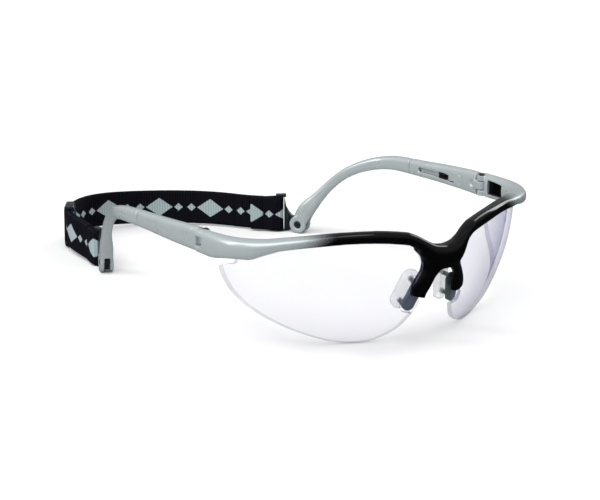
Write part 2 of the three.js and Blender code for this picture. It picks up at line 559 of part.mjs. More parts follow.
// ---------------------------------------------------------------- webbing
const leftBar = clipFrame(1).bar;
const rightBar = clipFrame(-1).bar;
const SLIDER_BACK = 112;                           // behind the seam, where the strap reaches furthest
const backY = (y) => SEAM_Y + SLIDER_BACK + (y - 197);
const strapLine = new THREE.CatmullRomCurve3([
  [leftBar.x, leftBar.y], [38, backY(154.6)], [33.4, backY(160.4)], [29, backY(167.4)], [22.3, backY(175.4)],
  [14, backY(182.6)], [4.5, backY(188.8)], [-5.5, backY(193.8)], [-15, backY(196.8)], [-24, backY(196.6)],
  [-32.4, backY(192.8)], [-40, backY(186.2)], [-45.6, backY(178)], [-47.8, backY(169.4)],
  [-48.4, backY(161)], [rightBar.x, rightBar.y]].map(([x, y]) => V(x, y, 0)), false, 'centripetal');
strapLine.arcLengthDivisions = 400;
const STRAP_LENGTH = strapLine.getLength();
const webbingZ = profile([[0, WEBBING_Z], [0.4, WEBBING_Z + 0.6], [0.78, WEBBING_Z + 1.5], [1, WEBBING_Z]]);

// A run of webbing between two distances along the strap, standing on edge, offset sideways.
function webbing(from, to, offset = 0, thickness = WEBBING_THICKNESS) {
  const steps = Math.max(2, Math.ceil((to - from) / 4));
  return loft(Array.from({ length: steps + 1 }, (_, i) => {
    const s = mix(from, to, i / steps) / STRAP_LENGTH;
    const tangent = strapLine.getTangentAt(s);
    const outward = V(tangent.y, -tangent.x, 0).normalize();
    const centre = strapLine.getPointAt(s).addScaledVector(outward, offset).setZ(webbingZ(s));
    return roundRing(centre, outward, UP, thickness / 2, WEBBING_WIDTH / 2, 9, 4);
  }));
}

// The loop at an end of the strap: webbing round the bar of the clip, then both layers side by side.
const LOOP = CLIP_BAR / 2 + GAP;
function endLoop(atStart, reach) {
  const [bar, length] = [atStart ? leftBar : rightBar, STRAP_LENGTH];
  const s = (d) => (atStart ? d : length - d) / length;
  const layer = LOOP + WEBBING_THICKNESS / 2;
  const path = [];
  const beside = (d, offset) => {
    const tangent = strapLine.getTangentAt(s(d));
    const outward = V(tangent.y, -tangent.x, 0).normalize();
    return strapLine.getPointAt(s(d)).addScaledVector(outward, offset);
  };
  const drift = (d) => mix(layer, LAYER, THREE.MathUtils.smoothstep(d, 1, 6));
  for (const d of [reach, reach * 0.7, reach * 0.45, 1.5]) path.push(beside(d, -drift(d)));
  const tangent = strapLine.getTangentAt(s(0)).multiplyScalar(atStart ? -1 : 1);
  const outward = V(tangent.y, -tangent.x, 0).normalize().multiplyScalar(atStart ? -1 : 1);
  for (let i = 0; i <= 8; i++) {
    const t = Math.PI * (i / 8) - Math.PI / 2;
    path.push(V(bar.x, bar.y, 0).addScaledVector(outward, layer * Math.sin(t))
      .addScaledVector(tangent, layer * Math.cos(t)));
  }
  for (const d of [1.5, reach * 0.45, reach * 0.7, reach]) path.push(beside(d, drift(d)));
  return loft(path.map((p, i) => {
    const ahead = path[Math.min(i + 1, path.length - 1)].clone().sub(path[Math.max(i - 1, 0)]).normalize();
    const side = V(ahead.y, -ahead.x, 0);
    return roundRing(p.clone().setZ(WEBBING_Z), side, UP, WEBBING_THICKNESS / 2, WEBBING_WIDTH / 2, 9, 4);
  }));
}

const LAYER = (WEBBING_THICKNESS + GAP) / 2;       // half the distance between two layers side by side
const END_REACH = 6.5;
const BESIDE_LEFT = 20;                            // distances along the strap from the left clip
const LEFT_TAIL = 12;
const BACK_START = 78;
const BACK_END = STRAP_LENGTH - 39;
const SLIDER_AT = BACK_END + 4.5;
const RIGHT_BEND = STRAP_LENGTH - 17.5;

const SLIDER_SIZE = [8, 4.6, 18.6];               // along the strap, through it, height
function sliderFrame() {
  const s = SLIDER_AT / STRAP_LENGTH;
  const tangent = strapLine.getTangentAt(s);
  return { centre: strapLine.getPointAt(s).setZ(webbingZ(s)), tangent, outward: V(tangent.y, -tangent.x, 0) };
}

function slider() {
  const { centre, tangent, outward } = sliderFrame();
  const [length, thickness, height] = SLIDER_SIZE;
  const ring = (d, grow) => roundRing(centre.clone().addScaledVector(tangent, d), outward, UP,
    thickness / 2 + grow, height / 2 + grow, 7, 16);
  let body = loft([ring(-length / 2, -0.4), ring(-length / 2 + 0.6, 0), ring(length / 2 - 0.6, 0),
    ring(length / 2, -0.4)]);
  const opening = (from, to) => loft([from, to].map((d) => roundRing(
    centre.clone().addScaledVector(tangent, d), outward, UP, WEBBING_THICKNESS + 0.75,
    WEBBING_WIDTH / 2 + GAP, 12, 8)));
  body = body.subtract(opening(-length, length));
  return body;
}

// ---------------------------------------------------------------- the assembly
const paint = (color, roughness, metalness = 0, more = {}) =>
  new THREE.MeshStandardMaterial({ color, roughness, metalness, ...more });
const materials = {
  black: paint('#0d0d10', 0.12),
  silver: paint('#b4bdc0', 0.35, 0.6),
  lens: paint('#f2f1fa', 0.03, 0, { transparent: true, opacity: 0.35 }),
  grey: paint('#5f6e6c', 0.45),
  clear: paint('#eef2f2', 0.2, 0, { transparent: true, opacity: 0.5 }),
  steel: paint('#8f9498', 0.3, 1),
  clip: paint('#1c2529', 0.4),
  webbing: paint('#0b0c14', 0.9),
};

const goggles = new THREE.Group();
const place = (name, geometry, material, parent) => {
  const mesh = new THREE.Mesh(geometry, materials[material]);
  mesh.name = name;
  parent.add(mesh);
};

place('front_frame', toGeometry(frontFrame()), 'black', goggles);
const pairs = [['lens', lens(), 'lens'], ['temple_sleeve', templeSleeve(), 'silver'],
  ['temple_arm', templeArm(), 'silver'], ['length_catch', lengthCatch(), 'black'],
  ['hinge_pin', hingePin(), 'steel'], ['nose_pad_holder', nosePadHolder(), 'grey'],
  ['nose_pad', nosePad(), 'clear'], ['fork_pin', forkPin(), 'clip']];
for (const [name, solid, material] of pairs) {
  const geometry = toGeometry(solid);
  place(`${name}_left`, geometry, material, goggles);
  place(`${name}_right`, mirrored(geometry), material, goggles);
}
place('strap_clip_left', toGeometry(strapClip(1)), 'clip', goggles);
place('strap_clip_right', toGeometry(strapClip(-1)), 'clip', goggles);
const runs = {
  strap_loop_left: endLoop(true, END_REACH),
  strap_run_left: webbing(END_REACH + GAP, BESIDE_LEFT, LAYER),
  strap_tail_left: webbing(END_REACH + GAP, LEFT_TAIL, -LAYER),
  strap_side_left: webbing(BESIDE_LEFT + GAP, BACK_START, LAYER),
  strap_back: webbing(BACK_START + GAP, BACK_END, LAYER),
  strap_side_right: webbing(BACK_END + GAP, RIGHT_BEND, LAYER),
  strap_return_side_right: webbing(SLIDER_AT + 1, RIGHT_BEND, -LAYER),
  strap_run_right: webbing(RIGHT_BEND + GAP, STRAP_LENGTH - END_REACH - GAP, LAYER),
  strap_return_run_right: webbing(RIGHT_BEND + GAP, STRAP_LENGTH - END_REACH - GAP, -LAYER),
  strap_loop_right: endLoop(false, END_REACH),
};
for (const [name, solid] of Object.entries(runs)) place(name, toGeometry(solid), 'webbing', goggles);
place('strap_slider', toGeometry(slider()), 'clip', goggles);

// The origin is under the middle of the goggles, on the table.
goggles.updateMatrixWorld(true);
const extent = new THREE.Box3().setFromObject(goggles, true);
goggles.position.set(-(extent.min.x + extent.max.x) / 2, -(extent.min.y + extent.max.y) / 2, -extent.min.z);

export default goggles;
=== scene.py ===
"""Looks of the sports protective goggles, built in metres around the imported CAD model."""
import math

import bmesh
import bpy
import numpy as np
from mathutils import Matrix, Vector


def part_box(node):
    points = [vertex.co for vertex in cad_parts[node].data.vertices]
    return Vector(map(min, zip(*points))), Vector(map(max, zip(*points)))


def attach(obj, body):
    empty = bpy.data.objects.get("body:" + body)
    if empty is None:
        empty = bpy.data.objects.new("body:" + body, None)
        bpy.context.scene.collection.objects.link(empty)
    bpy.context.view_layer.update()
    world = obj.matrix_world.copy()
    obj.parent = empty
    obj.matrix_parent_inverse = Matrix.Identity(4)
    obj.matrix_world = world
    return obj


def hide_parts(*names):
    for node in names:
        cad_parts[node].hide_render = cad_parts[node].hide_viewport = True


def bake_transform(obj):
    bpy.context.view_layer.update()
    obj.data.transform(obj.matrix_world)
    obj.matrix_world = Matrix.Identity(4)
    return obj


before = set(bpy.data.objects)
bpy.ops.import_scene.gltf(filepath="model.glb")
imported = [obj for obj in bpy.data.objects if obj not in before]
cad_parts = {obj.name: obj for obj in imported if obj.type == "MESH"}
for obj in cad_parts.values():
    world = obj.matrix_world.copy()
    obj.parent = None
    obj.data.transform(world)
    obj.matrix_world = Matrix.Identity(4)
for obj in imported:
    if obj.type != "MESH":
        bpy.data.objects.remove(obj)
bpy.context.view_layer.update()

# ------------------------------------------------------------------ sizes, in millimetres, as in the CAD model
GAP = 0.3
HINGE_X, HINGE_Y, HINGE_Z = 69.9, 40.5, 39.5
BROW_Z = 47.3
BAR_HEIGHT = 4.6
BRIDGE_HEIGHT = 9.8
NOSE_GAP = 13.4
NOSE_ARM_WIDTH, NOSE_ARM_DEPTH, NOSE_ARM_LENGTH = 5.2, 4.4, 20
LENS_THICKNESS, LENS_SAG_RADIUS, GROOVE_DEPTH = 2.2, 81, 1.6
TEMPLE_THICKNESS = 4.4
HINGE_HEIGHT, SEAM_HEIGHT = 9.8, 6.8
SLEEVE_LENGTH = 44.8
LENGTH_TRAVEL, TONGUE_LENGTH, TONGUE_HEIGHT, TONGUE_THICKNESS = 6, 25, 2.8, 1.4
KNUCKLE_RADIUS, KNUCKLE_HEIGHT = 1.9, 3.4
PIN_RADIUS, PIN_HEAD_RADIUS, PIN_HEAD_DEPTH = 0.75, 1.25, 0.9
FORK_RADIUS, FORK_THICKNESS, FORK_PIN_RADIUS = 3.9, 5.6, 1.6
TAB_THICKNESS = 1.9
SLOT_RADIUS = 6.2
WEBBING_WIDTH, WEBBING_THICKNESS, WEBBING_Z = 15, 1.4, 8
CLIP_BAR = 1.6
PAD_SIZE = (17, 7.4, 3.2)
PAD_STANDOFF = 2.6
HOLDER_SIZE = (13.4, 4.8, 2.4)
PAD_TILT = 8
SLIDER_SIZE = (8, 4.6, 18.6)
SEAM_Y = HINGE_Y + SLEEVE_LENGTH
# the CAD model stands with its origin under its middle: this moves the sizes above into its frame
pin_low, pin_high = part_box("hinge_pin_left")
ORIGIN = Vector((0, (pin_low.y + pin_high.y) / 2 * 1000 - HINGE_Y, 0))
UP = np.array([0, 0, 1.0])


def vec(*p):
    return np.array(p, float)


def unit(v):
    return v / np.linalg.norm(v)


def mix(a, b, t):
    return a + (b - a) * t


def smoothstep(x, low, high):
    t = min(max((x - low) / (high - low), 0), 1)
    return t * t * (3 - 2 * t)


class Curve:
    """A smooth centripetal curve through points, as in the CAD model."""

    def __init__(self, points, divisions=400):
        self.points = [np.array(p, float) for p in points]
        self.table = np.array([self.at(i / divisions) for i in range(divisions + 1)])
        steps = np.linalg.norm(np.diff(self.table, axis=0), axis=1)
        self.lengths = np.concatenate([[0], np.cumsum(steps)])
        self.length = self.lengths[-1]

    def at(self, t):
        p, count = self.points, len(self.points)
        place = (count - 1) * min(max(t, 0), 1)
        i = min(int(place), count - 2)
        w = place - i
        before = p[i - 1] if i > 0 else 2 * p[0] - p[1]
        after = p[i + 2] if i + 2 < count else 2 * p[-1] - p[-2]
        quad = [before, p[i], p[i + 1], after]
        d = [max(np.linalg.norm(quad[k + 1] - quad[k]), 1e-4) ** 0.5 for k in range(3)]
        t1 = ((quad[1] - quad[0]) / d[0] - (quad[2] - quad[0]) / (d[0] + d[1]) + (quad[2] - quad[1]) / d[1]) * d[1]
        t2 = ((quad[2] - quad[1]) / d[1] - (quad[3] - quad[1]) / (d[1] + d[2]) + (quad[3] - quad[2]) / d[2]) * d[1]
        c2 = -3 * quad[1] + 3 * quad[2] - 2 * t1 - t2
        c3 = 2 * quad[1] - 2 * quad[2] + t1 + t2
        return quad[1] + t1 * w + c2 * w * w + c3 * w ** 3

    def along(self, u):
        """The point at a share of the length."""
        target = min(max(u, 0), 1) * self.length
        share = np.interp(target, self.lengths, np.linspace(0, 1, len(self.lengths)))
        return self.at(share)

    def tangent(self, u):
        step = 1e-3
        return unit(self.along(min(u + step, 1)) - self.along(max(u - step, 0)))


def profile(pairs):
    """A function that reads a smooth curve through (place, value) pairs."""
    curve = Curve(pairs)
    return lambda s: float(np.interp(s, curve.table[:, 0], curve.table[:, 1]))


# ------------------------------------------------------------------ meshes
def new_mesh(name, verts, faces):
    """A mesh from points in millimetres, moved into the frame of the CAD model."""
    mesh = bpy.data.meshes.new(name)
    mesh.from_pydata([tuple((Vector(v) + ORIGIN) / 1000) for v in verts], [], faces)
    return mesh


def linked(name, mesh):
    obj = bpy.data.objects.new(name, mesh)
    bpy.context.scene.collection.objects.link(obj)
    return obj


def new_object(name, verts, faces, smooth_angle=35):
    mesh = new_mesh(name, verts, faces)
    mesh.validate()
    obj = linked(name, mesh)
    finish_normals(obj, smooth_angle)
    return obj


def finish_normals(obj, smooth_angle):
    """Faces turned outwards, with smooth shading up to an angle between them."""
    bm = bmesh.new()
    bm.from_mesh(obj.data)
    bmesh.ops.remove_doubles(bm, verts=bm.verts, dist=2e-6)
    bmesh.ops.recalc_face_normals(bm, faces=bm.faces)
    limit = math.radians(smooth_angle)
    for face in bm.faces:
        face.smooth = True
    for edge in bm.edges:
        edge.smooth = len(edge.link_faces) == 2 and edge.calc_face_angle(0) < limit
    bm.to_mesh(obj.data)
    bm.free()
    obj.data.update()


def skin(rings):
    """The points and faces of one closed skin over rings that have the same number of points."""
    n = len(rings[0])
    faces = [(r * n + i, r * n + (i + 1) % n, (r + 1) * n + (i + 1) % n, (r + 1) * n + i)
             for r in range(len(rings) - 1) for i in range(n)]
    faces.append(tuple(range(n))[::-1])
    faces.append(tuple(range((len(rings) - 1) * n, len(rings) * n)))
    return [p for ring in rings for p in ring], faces


def loft(name, rings, smooth_angle=35):
    return new_object(name, *skin(rings), smooth_angle)


def round_ring(centre, side, up, half_side, half_up, squareness=3, count=40):
    points = []
    for i in range(count):
        t = (i + 0.5) / count * 2 * math.pi
        c, s = math.cos(t), math.sin(t)
        points.append(centre + side * half_side * math.copysign(abs(c) ** (2 / squareness), c)
                      + up * half_up * math.copysign(abs(s) ** (2 / squareness), s))
    return points


def block(name, low, high):
    corners = [(x, y, z) for x in (low[0], high[0]) for y in (low[1], high[1]) for z in (low[2], high[2])]
    faces = [(0, 1, 3, 2), (4, 6, 7, 5), (0, 4, 5, 1), (2, 3, 7, 6), (0, 2, 6, 4), (1, 5, 7, 3)]
    return new_object(name, corners, faces)


def lathe(name, outline, centre, axis, sides=40):
    """A turned shape: outline is (radius, height) from the axis to the axis, along a direction."""
    turn = Vector((0, 0, 1)).rotation_difference(Vector(axis))
    angles = [2 * math.pi * i / sides for i in range(sides)]
    return loft(name, [[np.array(turn @ Vector((r * math.cos(a), r * math.sin(a), h))) + centre for a in angles]
                       for r, h in outline])


def disc(name, centre, axis, radius, thickness, sides=48):
    half = thickness / 2
    return lathe(name, [(radius, -half), (radius, half)], np.array(centre, float), axis, sides)


def combine(obj, other, operation):
    """Joins or cuts one piece with another, and removes the other."""
    modifier = obj.modifiers.new("join", "BOOLEAN")
    modifier.operation = operation
    modifier.solver = "MANIFOLD"
    modifier.object = other
    apply_modifiers(obj)
    mesh = other.data
    bpy.data.objects.remove(other)
    bpy.data.meshes.remove(mesh)
    return obj


def add(obj, *others):
    for other in others:
        combine(obj, other, "UNION")
    return obj


def cut(obj, *others):
    for other in others:
        combine(obj, other, "DIFFERENCE")
    return obj


def apply_modifiers(obj):
    graph = bpy.context.evaluated_depsgraph_get()
    graph.update()
    mesh = bpy.data.meshes.new_from_object(obj.evaluated_get(graph))
    old = obj.data
    obj.modifiers.clear()
    obj.data = mesh
    bpy.data.meshes.remove(old)
    mesh.name = obj.name


def soften(obj, width=0.12, segments=2, angle=40):
    """Rounds the sharp edges a little, and smooths the shading over the rounding."""
    bm = bmesh.new()
    bm.from_mesh(obj.data)
    bmesh.ops.remove_doubles(bm, verts=bm.verts, dist=4e-6)
    bmesh.ops.dissolve_degenerate(bm, edges=bm.edges, dist=4e-6)
    bm.to_mesh(obj.data)
    bm.free()
    modifier = obj.modifiers.new("edge", "BEVEL")
    modifier.width = width / 1000
    modifier.segments = segments
    modifier.limit_method = "ANGLE"
    modifier.angle_limit = math.radians(angle)
    modifier.harden_normals = True
    for polygon in obj.data.polygons:
        polygon.use_smooth = True
    apply_modifiers(obj)
    return obj


def melt(obj, voxel=0.28, turns=3, soft_turns=0, softness=None):
    """Remeshes a moulding evenly and smooths it; softness gives how far each point takes the extra smoothing,
    so the joins between its members flow together as in one moulding."""
    remesh = obj.modifiers.new("even", "REMESH")
    remesh.mode = "VOXEL"
    remesh.voxel_size = voxel / 1000
    apply_modifiers(obj)
    smooth_over(obj, turns, "")
    if softness:
        group = obj.vertex_groups.new(name="soft")
        levels = {}
        for vertex in obj.data.vertices:
            levels.setdefault(round(softness(vertex.co * 1000 - ORIGIN), 2), []).append(vertex.index)
        for weight, indices in levels.items():
            group.add(indices, weight, "REPLACE")
        smooth_over(obj, soft_turns, group.name)
    apply_modifiers(obj)
    obj.vertex_groups.clear()
    for polygon in obj.data.polygons:
        polygon.use_smooth = True
    return obj


def smooth_over(obj, turns, group):
    smooth = obj.modifiers.new("smooth", "SMOOTH")
    smooth.factor = 0.5
    smooth.iterations = turns
    smooth.vertex_group = group


def mirrored(obj, name):
    """The other side's copy of a piece."""
    other = obj.copy()
    other.data = obj.data.copy()
    other.name = other.data.name = name
    bpy.context.scene.collection.objects.link(other)
    other.data.transform(Matrix.Scale(-1, 4, (1, 0, 0)))
    other.data.flip_normals()
    return other


# ------------------------------------------------------------------ the front
FRONT_EDGE = Curve([(0, -22.5), (5, -22), (9, -20.8), (12, -19.6), (16, -18), (28, -13.4), (40.9, -6.9), (52, -1.9),
                    (61, 4.3), (66.2, 8.8), (69.8, 13.2), (72.4, 18.6), (73.6, 25), (74, 33), (73.9, 40.5)])
BACK_EDGE = Curve([(0, -14.4), (4.6, -14.4), (8.4, -14.2), (11, -13.7), (14.4, -12.9), (25.8, -8.8), (38, -2.2),
                   (48, 3.6), (56, 9.8), (60.2, 14), (63.2, 18), (65.8, 22.6), (67.6, 27.4), (68.6, 33.6),
                   (69.2, 40.5)])
BAR_TOP = [BROW_Z - d for d in (7.7, 6.9, 4.8, 3.1, 1.5, 0, 0.1, 0.7, 1.6, 2.2, 2.4, 2.6, 2.7, 2.8)]
BAR_TOP.append(HINGE_Z + HINGE_HEIGHT / 2)
BAR_LOW = BROW_Z - BAR_HEIGHT
END_LOW = HINGE_Z - HINGE_HEIGHT / 2
BAR_BOTTOM = [BAR_TOP[0] - BRIDGE_HEIGHT, BAR_TOP[1] - BRIDGE_HEIGHT - 0.4]
BAR_BOTTOM += [BAR_LOW - d for d in (9.3, 4.3, 2, 0.5, 0.1, 0.4, 1.6, 3.6, 5.6, 6)]
BAR_BOTTOM += [END_LOW + 1.3, END_LOW, END_LOW]
TOP_CURVE = Curve(list(enumerate(BAR_TOP)))
BOTTOM_CURVE = Curve(list(enumerate(BAR_BOTTOM)))


def bar_ring(t):
    f, b = FRONT_EDGE.at(t), BACK_EDGE.at(t)
    top, bottom = TOP_CURVE.at(t)[1], BOTTOM_CURVE.at(t)[1]
    centre = vec((f[0] + b[0]) / 2, (f[1] + b[1]) / 2, (top + bottom) / 2)
    across = vec(*(f - b), 0)
    return round_ring(centre, unit(across), UP, np.linalg.norm(across) / 2, (top - bottom) / 2, 2.7, 40)


LENS_LINE = Curve([(9.4, -17.2), (16.5, -15.4), (28, -11.2), (40, -4.7), (50, 1.8), (58, 8.8), (63.4, 15.8),
                   (66.6, 23), (68.1, 30), (68.4, 34.4)])
LENS_TOP = BAR_LOW + GROOVE_DEPTH
lens_bottom = profile([(0, 15.5), (0.03, 10.8), (0.08, 6), (0.15, 2.6), (0.24, 0.35), (0.31, 0), (0.4, 0.9),
                       (0.5, 3.2), (0.6, 6.2), (0.7, 9.6), (0.8, 13.4), (0.88, 17), (0.94, 20.6), (0.98, 24.6),
                       (1, 28.6)])
lens_top = profile([(s, LENS_TOP - d) for s, d in (
    (0, 10.9), (0.03, 6.9), (0.08, 3.1), (0.14, 0.5), (0.3, 0), (0.6, 0.6), (0.7, 2.2), (0.77, 5), (0.83, 6.6),
    (0.875, 8), (0.9, 11.4), (0.94, 11.9), (1, 13.7))])


def lens_point(s, z, depth):
    p, tangent = LENS_LINE.along(s), LENS_LINE.tangent(s)
    drop = LENS_TOP - z
    inward = unit(vec(-tangent[1], tangent[0], 0))
    return vec(*p, z) + inward * (drop * drop / (2 * LENS_SAG_RADIUS) + depth)


def lens_blank(name, extra=0.0, columns=72, rows=26):
    rings = []
    for i in range(columns + 1):
        s = (1 - math.cos(i / columns * math.pi)) / 2
        heights = [mix(lens_bottom(s) - extra, lens_top(s) + extra, k / rows) for k in range(rows + 1)]
        half = LENS_THICKNESS / 2 + extra
        rings.append([lens_point(s, z, -half) for z in heights]
                     + [lens_point(s, z, half) for z in reversed(heights)])
    if extra > 0:
        # the second of these lands before the last ring, so the outer end of the groove is folded by extra
        for place, s, sign in ((0, 0, -1), (len(rings), 1, 1)):
            shift = vec(*LENS_LINE.tangent(s), 0) * sign * extra
            rings.insert(place, [p + shift for p in rings[0 if place == 0 else -1]])
    return loft(name, rings)


ARM_TIP_Z = BAR_BOTTOM[4] - NOSE_ARM_LENGTH - 1.4
# height, inner corner, width, y of the inner corner, y of the outer corner
NOSE_ARM = [(rise, NOSE_GAP / 2 + inner, NOSE_ARM_WIDTH + wider, inner_y, outer_y)
            for rise, inner, wider, inner_y, outer_y in (
                (0, 0.7, -0.2, -17.2, -15.7), (0.35, 0.7, 0, -17.4, -15.8), (4.1, -0.4, 0.8, -19.3, -16.6),
                (7.8, -1.5, 0.5, -20.8, -17.4), (11.6, -4.5, 2, -22, -18.2), (15.6, -5.4, 2.8, -22.2, -18.2),
                (19.4, -5.5, 6.2, -22.2, -17.5))]


def nose_arm():
    curve = Curve(NOSE_ARM[1:])
    stations = [NOSE_ARM[0]] + [curve.at(i / 24) for i in range(25)]
    rings = []
    for rise, inner, width, inner_y, outer_y in stations:
        a, b = vec(inner, inner_y, 0), vec(inner + width, outer_y, 0)
        centre = (a + b) / 2 + vec(0, NOSE_ARM_DEPTH / 2, ARM_TIP_Z + rise)
        half = np.linalg.norm(b - a) / 2
        across = unit(b - a)
        if rise < 1:
            across = across + vec(0, 0, 1.4) / (2 * half)
        rings.append(round_ring(centre, across, vec(0, 1, 0), half, NOSE_ARM_DEPTH / 2, 3.2, 32))
    return loft("nose_arm", rings)


HINGE = vec(HINGE_X, HINGE_Y, HINGE_Z)
POCKET_FRONT, POCKET_BACK, POCKET_HALF = 15.5, 4.6, 3
EAR_END = KNUCKLE_RADIUS + 0.3
SLEEVE_START = EAR_END + GAP + 0.1
PIVOT = vec(NOSE_GAP / 2 + 2.4, -13.6, ARM_TIP_Z + 3.2)
STUD_RADIUS, PEG_RADIUS = 1.1, 0.85


def front():
    count = 126
    rings = [bar_ring(i / count) for i in range(count + 1)]
    half = loft("front_moulding", [[vec(-0.5, p[1], p[2]) for p in rings[0]]] + rings)
    f, b = FRONT_EDGE.at(1), BACK_EDGE.at(1)
    ear_half = HINGE_HEIGHT / 2 - 0.25
    ears = loft("ears", [round_ring(vec((f[0] + HINGE_X) / 2, HINGE_Y + y, HINGE_Z), vec(1, 0, 0), UP,
                                    (f[0] - HINGE_X) / 2, ear_half, 3.2) for y in (-1.2, EAR_END)])
    barrel = disc("barrel", HINGE, UP, HINGE_X - b[0] + 0.2 + KNUCKLE_RADIUS * 0.5, HINGE_HEIGHT - 1.2)
    cut(add(half, ears, barrel), lens_blank("groove", GAP, 48, 14))
    slot = KNUCKLE_HEIGHT / 2 + GAP
    cut(add(half, nose_arm()),
        block("knuckle_slot", (HINGE_X - 8, HINGE_Y - KNUCKLE_RADIUS - 0.5, HINGE_Z - slot),
              (HINGE_X + 8, HINGE_Y + 8, HINGE_Z + slot)),
        disc("pin_hole", HINGE, UP, PIN_RADIUS + GAP, 40),
        block("pocket", (HINGE_X - 8, HINGE_Y - POCKET_FRONT, HINGE_Z - POCKET_HALF),
              (HINGE_X + 0.4, HINGE_Y - POCKET_BACK, HINGE_Z + POCKET_HALF)),
        block("holder_seat", (0, PIVOT[1] + GAP, PIVOT[2] - 10), (NOSE_GAP, PIVOT[1] + 10, PIVOT[2] + 8)),
        disc("stud_hole", PIVOT - vec(0, 0.6, 0), (0, 1, 0), STUD_RADIUS + GAP, 4.4),
        disc("head_seat", HINGE + UP * HINGE_HEIGHT / 2, UP, PIN_HEAD_RADIUS + GAP, 2 * PIN_HEAD_DEPTH))

    def bridge(p):
        return (1 - smoothstep(abs(p.x), 9, 17)) * smoothstep(p.z, ARM_TIP_Z + 6, ARM_TIP_Z + 11)

    return melt(add(half, mirrored(half, "front_other_half")), voxel=0.24, turns=4, soft_turns=120, softness=bridge)


# ------------------------------------------------------------------ nose pads
PAD_AXIS = unit(vec(0.31, 0.37, -1))
PAD_FACE = vec(-0.24, 0.97, 0)
PAD_FACE = unit(PAD_FACE - PAD_AXIS * np.dot(PAD_FACE, PAD_AXIS))
PAD_WIDE = np.cross(PAD_AXIS, PAD_FACE)
HOLDER_CENTRE = PIVOT + vec(1, HOLDER_SIZE[2], -3.2) - PAD_WIDE * 0.6
PAD_CENTRE = (HOLDER_CENTRE + PAD_FACE * (HOLDER_SIZE[2] / 2 + PAD_SIZE[2] / 2 + PAD_STANDOFF)
              + PAD_WIDE * 1.1 + PAD_AXIS * 0.6)


def stadium(name, centre, size, rim, sides=64, steps=6):
    """A slab with a stadium outline and rounded rims, square to the pad's axes."""
    length, width, thickness = size
    angles = [math.pi / 2 * k / steps for k in range(steps + 1)]
    levels = [(-thickness / 2 + rim * 0.8 * (1 - math.cos(a)), rim * (1 - math.sin(a))) for a in angles]
    levels += [(-level, inset) for level, inset in reversed(levels)]
    rings = []
    for level, inset in levels:
        radius, straight = width / 2 - inset, (length - width) / 2
        ring = []
        for i in range(sides):
            t = (i + 0.5) / sides * 2 * math.pi
            end = straight if math.cos(t) > 0 else -straight
            ring.append(centre + PAD_AXIS * (end + radius * math.cos(t)) + PAD_WIDE * radius * math.sin(t)
                        + PAD_FACE * level)
        rings.append(ring)
    return loft(name, rings, 50)


def pegs(name, radius, depth):
    out = []
    for end in (-1, 1):
        p = PAD_CENTRE + PAD_AXIS * end * PAD_SIZE[0] * 0.29
        reach = HOLDER_SIZE[2] * 0.6 + PAD_STANDOFF + depth
        out.append(disc(name, p + PAD_FACE * (-PAD_SIZE[2] / 2 + depth - reach / 2), PAD_FACE, radius, reach, 28))
    return out


def pad_holder():
    wall = PIVOT[1] + 2 * GAP
    holder = add(stadium("pad_holder", HOLDER_CENTRE, HOLDER_SIZE, 0.5), *pegs("peg", PEG_RADIUS, 1.4))
    cut(holder, block("wall", (-30, wall - 30, -5), (30, wall, 60)))
    add(holder, disc("stud", PIVOT + vec(0, 0.7, 0), (0, 1, 0), STUD_RADIUS, 4.4))
    return soften(holder, 0.1)


def holder_space(angle):
    length, width, thickness = (size + 4 * GAP for size in HOLDER_SIZE)
    space = add(stadium("space", HOLDER_CENTRE, (length, width, thickness + GAP), 0.2, sides=48, steps=2),
                disc("stud_space", PIVOT + vec(0, 1, 0), (0, 1, 0), STUD_RADIUS + 2 * GAP, 6))
    pivot = (Vector(PIVOT) + ORIGIN) / 1000
    space.data.transform(Matrix.Translation(pivot) @ Matrix.Rotation(math.radians(angle), 4, "Y")
                         @ Matrix.Translation(-pivot))
    return space


def nose_pad():
    pad = stadium("nose_pad", PAD_CENTRE, PAD_SIZE, 1.1)
    return soften(cut(pad, *pegs("socket", PEG_RADIUS + GAP, 1.4 + GAP)), 0.1)


def lens():
    glass = lens_blank("lens_shell", 0.0)
    cut(glass, *(holder_space(a) for a in (-PAD_TILT, 0, PAD_TILT)))
    return soften(glass, 0.18, 2, 50)


def edge_rim(obj, side, material):
    """Gives the faces round the edge of a lens a material of their own."""
    obj.data.materials.append(material)
    for face in obj.data.polygons:
        p = np.array(Vector(face.center) * 1000 - ORIGIN) * vec(side, 1, 1)
        nearest = np.argmin(np.linalg.norm(LENS_LINE.table - p[:2], axis=1))
        tangent = LENS_LINE.tangent(LENS_LINE.lengths[nearest] / LENS_LINE.length)
        through = unit(vec(-tangent[1], tangent[0], (LENS_TOP - p[2]) / LENS_SAG_RADIUS))
        if abs(np.dot(np.array(face.normal) * vec(side, 1, 1), through)) < 0.6:
            face.material_index = 1


# ------------------------------------------------------------------ temples
CHANNEL = vec(HINGE_X + 0.1, SEAM_Y - TONGUE_LENGTH - 3, HINGE_Z - 0.9)
SLEEVE = [(SLEEVE_START, 0.75, 0, HINGE_HEIGHT), (8, 1.05, -0.05, HINGE_HEIGHT - 0.3),
          (16, 1.15, -0.25, HINGE_HEIGHT - 0.9), (26, 0.95, -0.5, HINGE_HEIGHT - 1.7),
          (36, 0.35, -0.8, mix(HINGE_HEIGHT, SEAM_HEIGHT, 0.84)), (SLEEVE_LENGTH, -0.1, -1.1, SEAM_HEIGHT)]
CATCH_LENGTH, NUB_HEIGHT = 5.6, 1.3
CATCH_Y = SEAM_Y - TONGUE_LENGTH + 1.4 + CATCH_LENGTH / 2


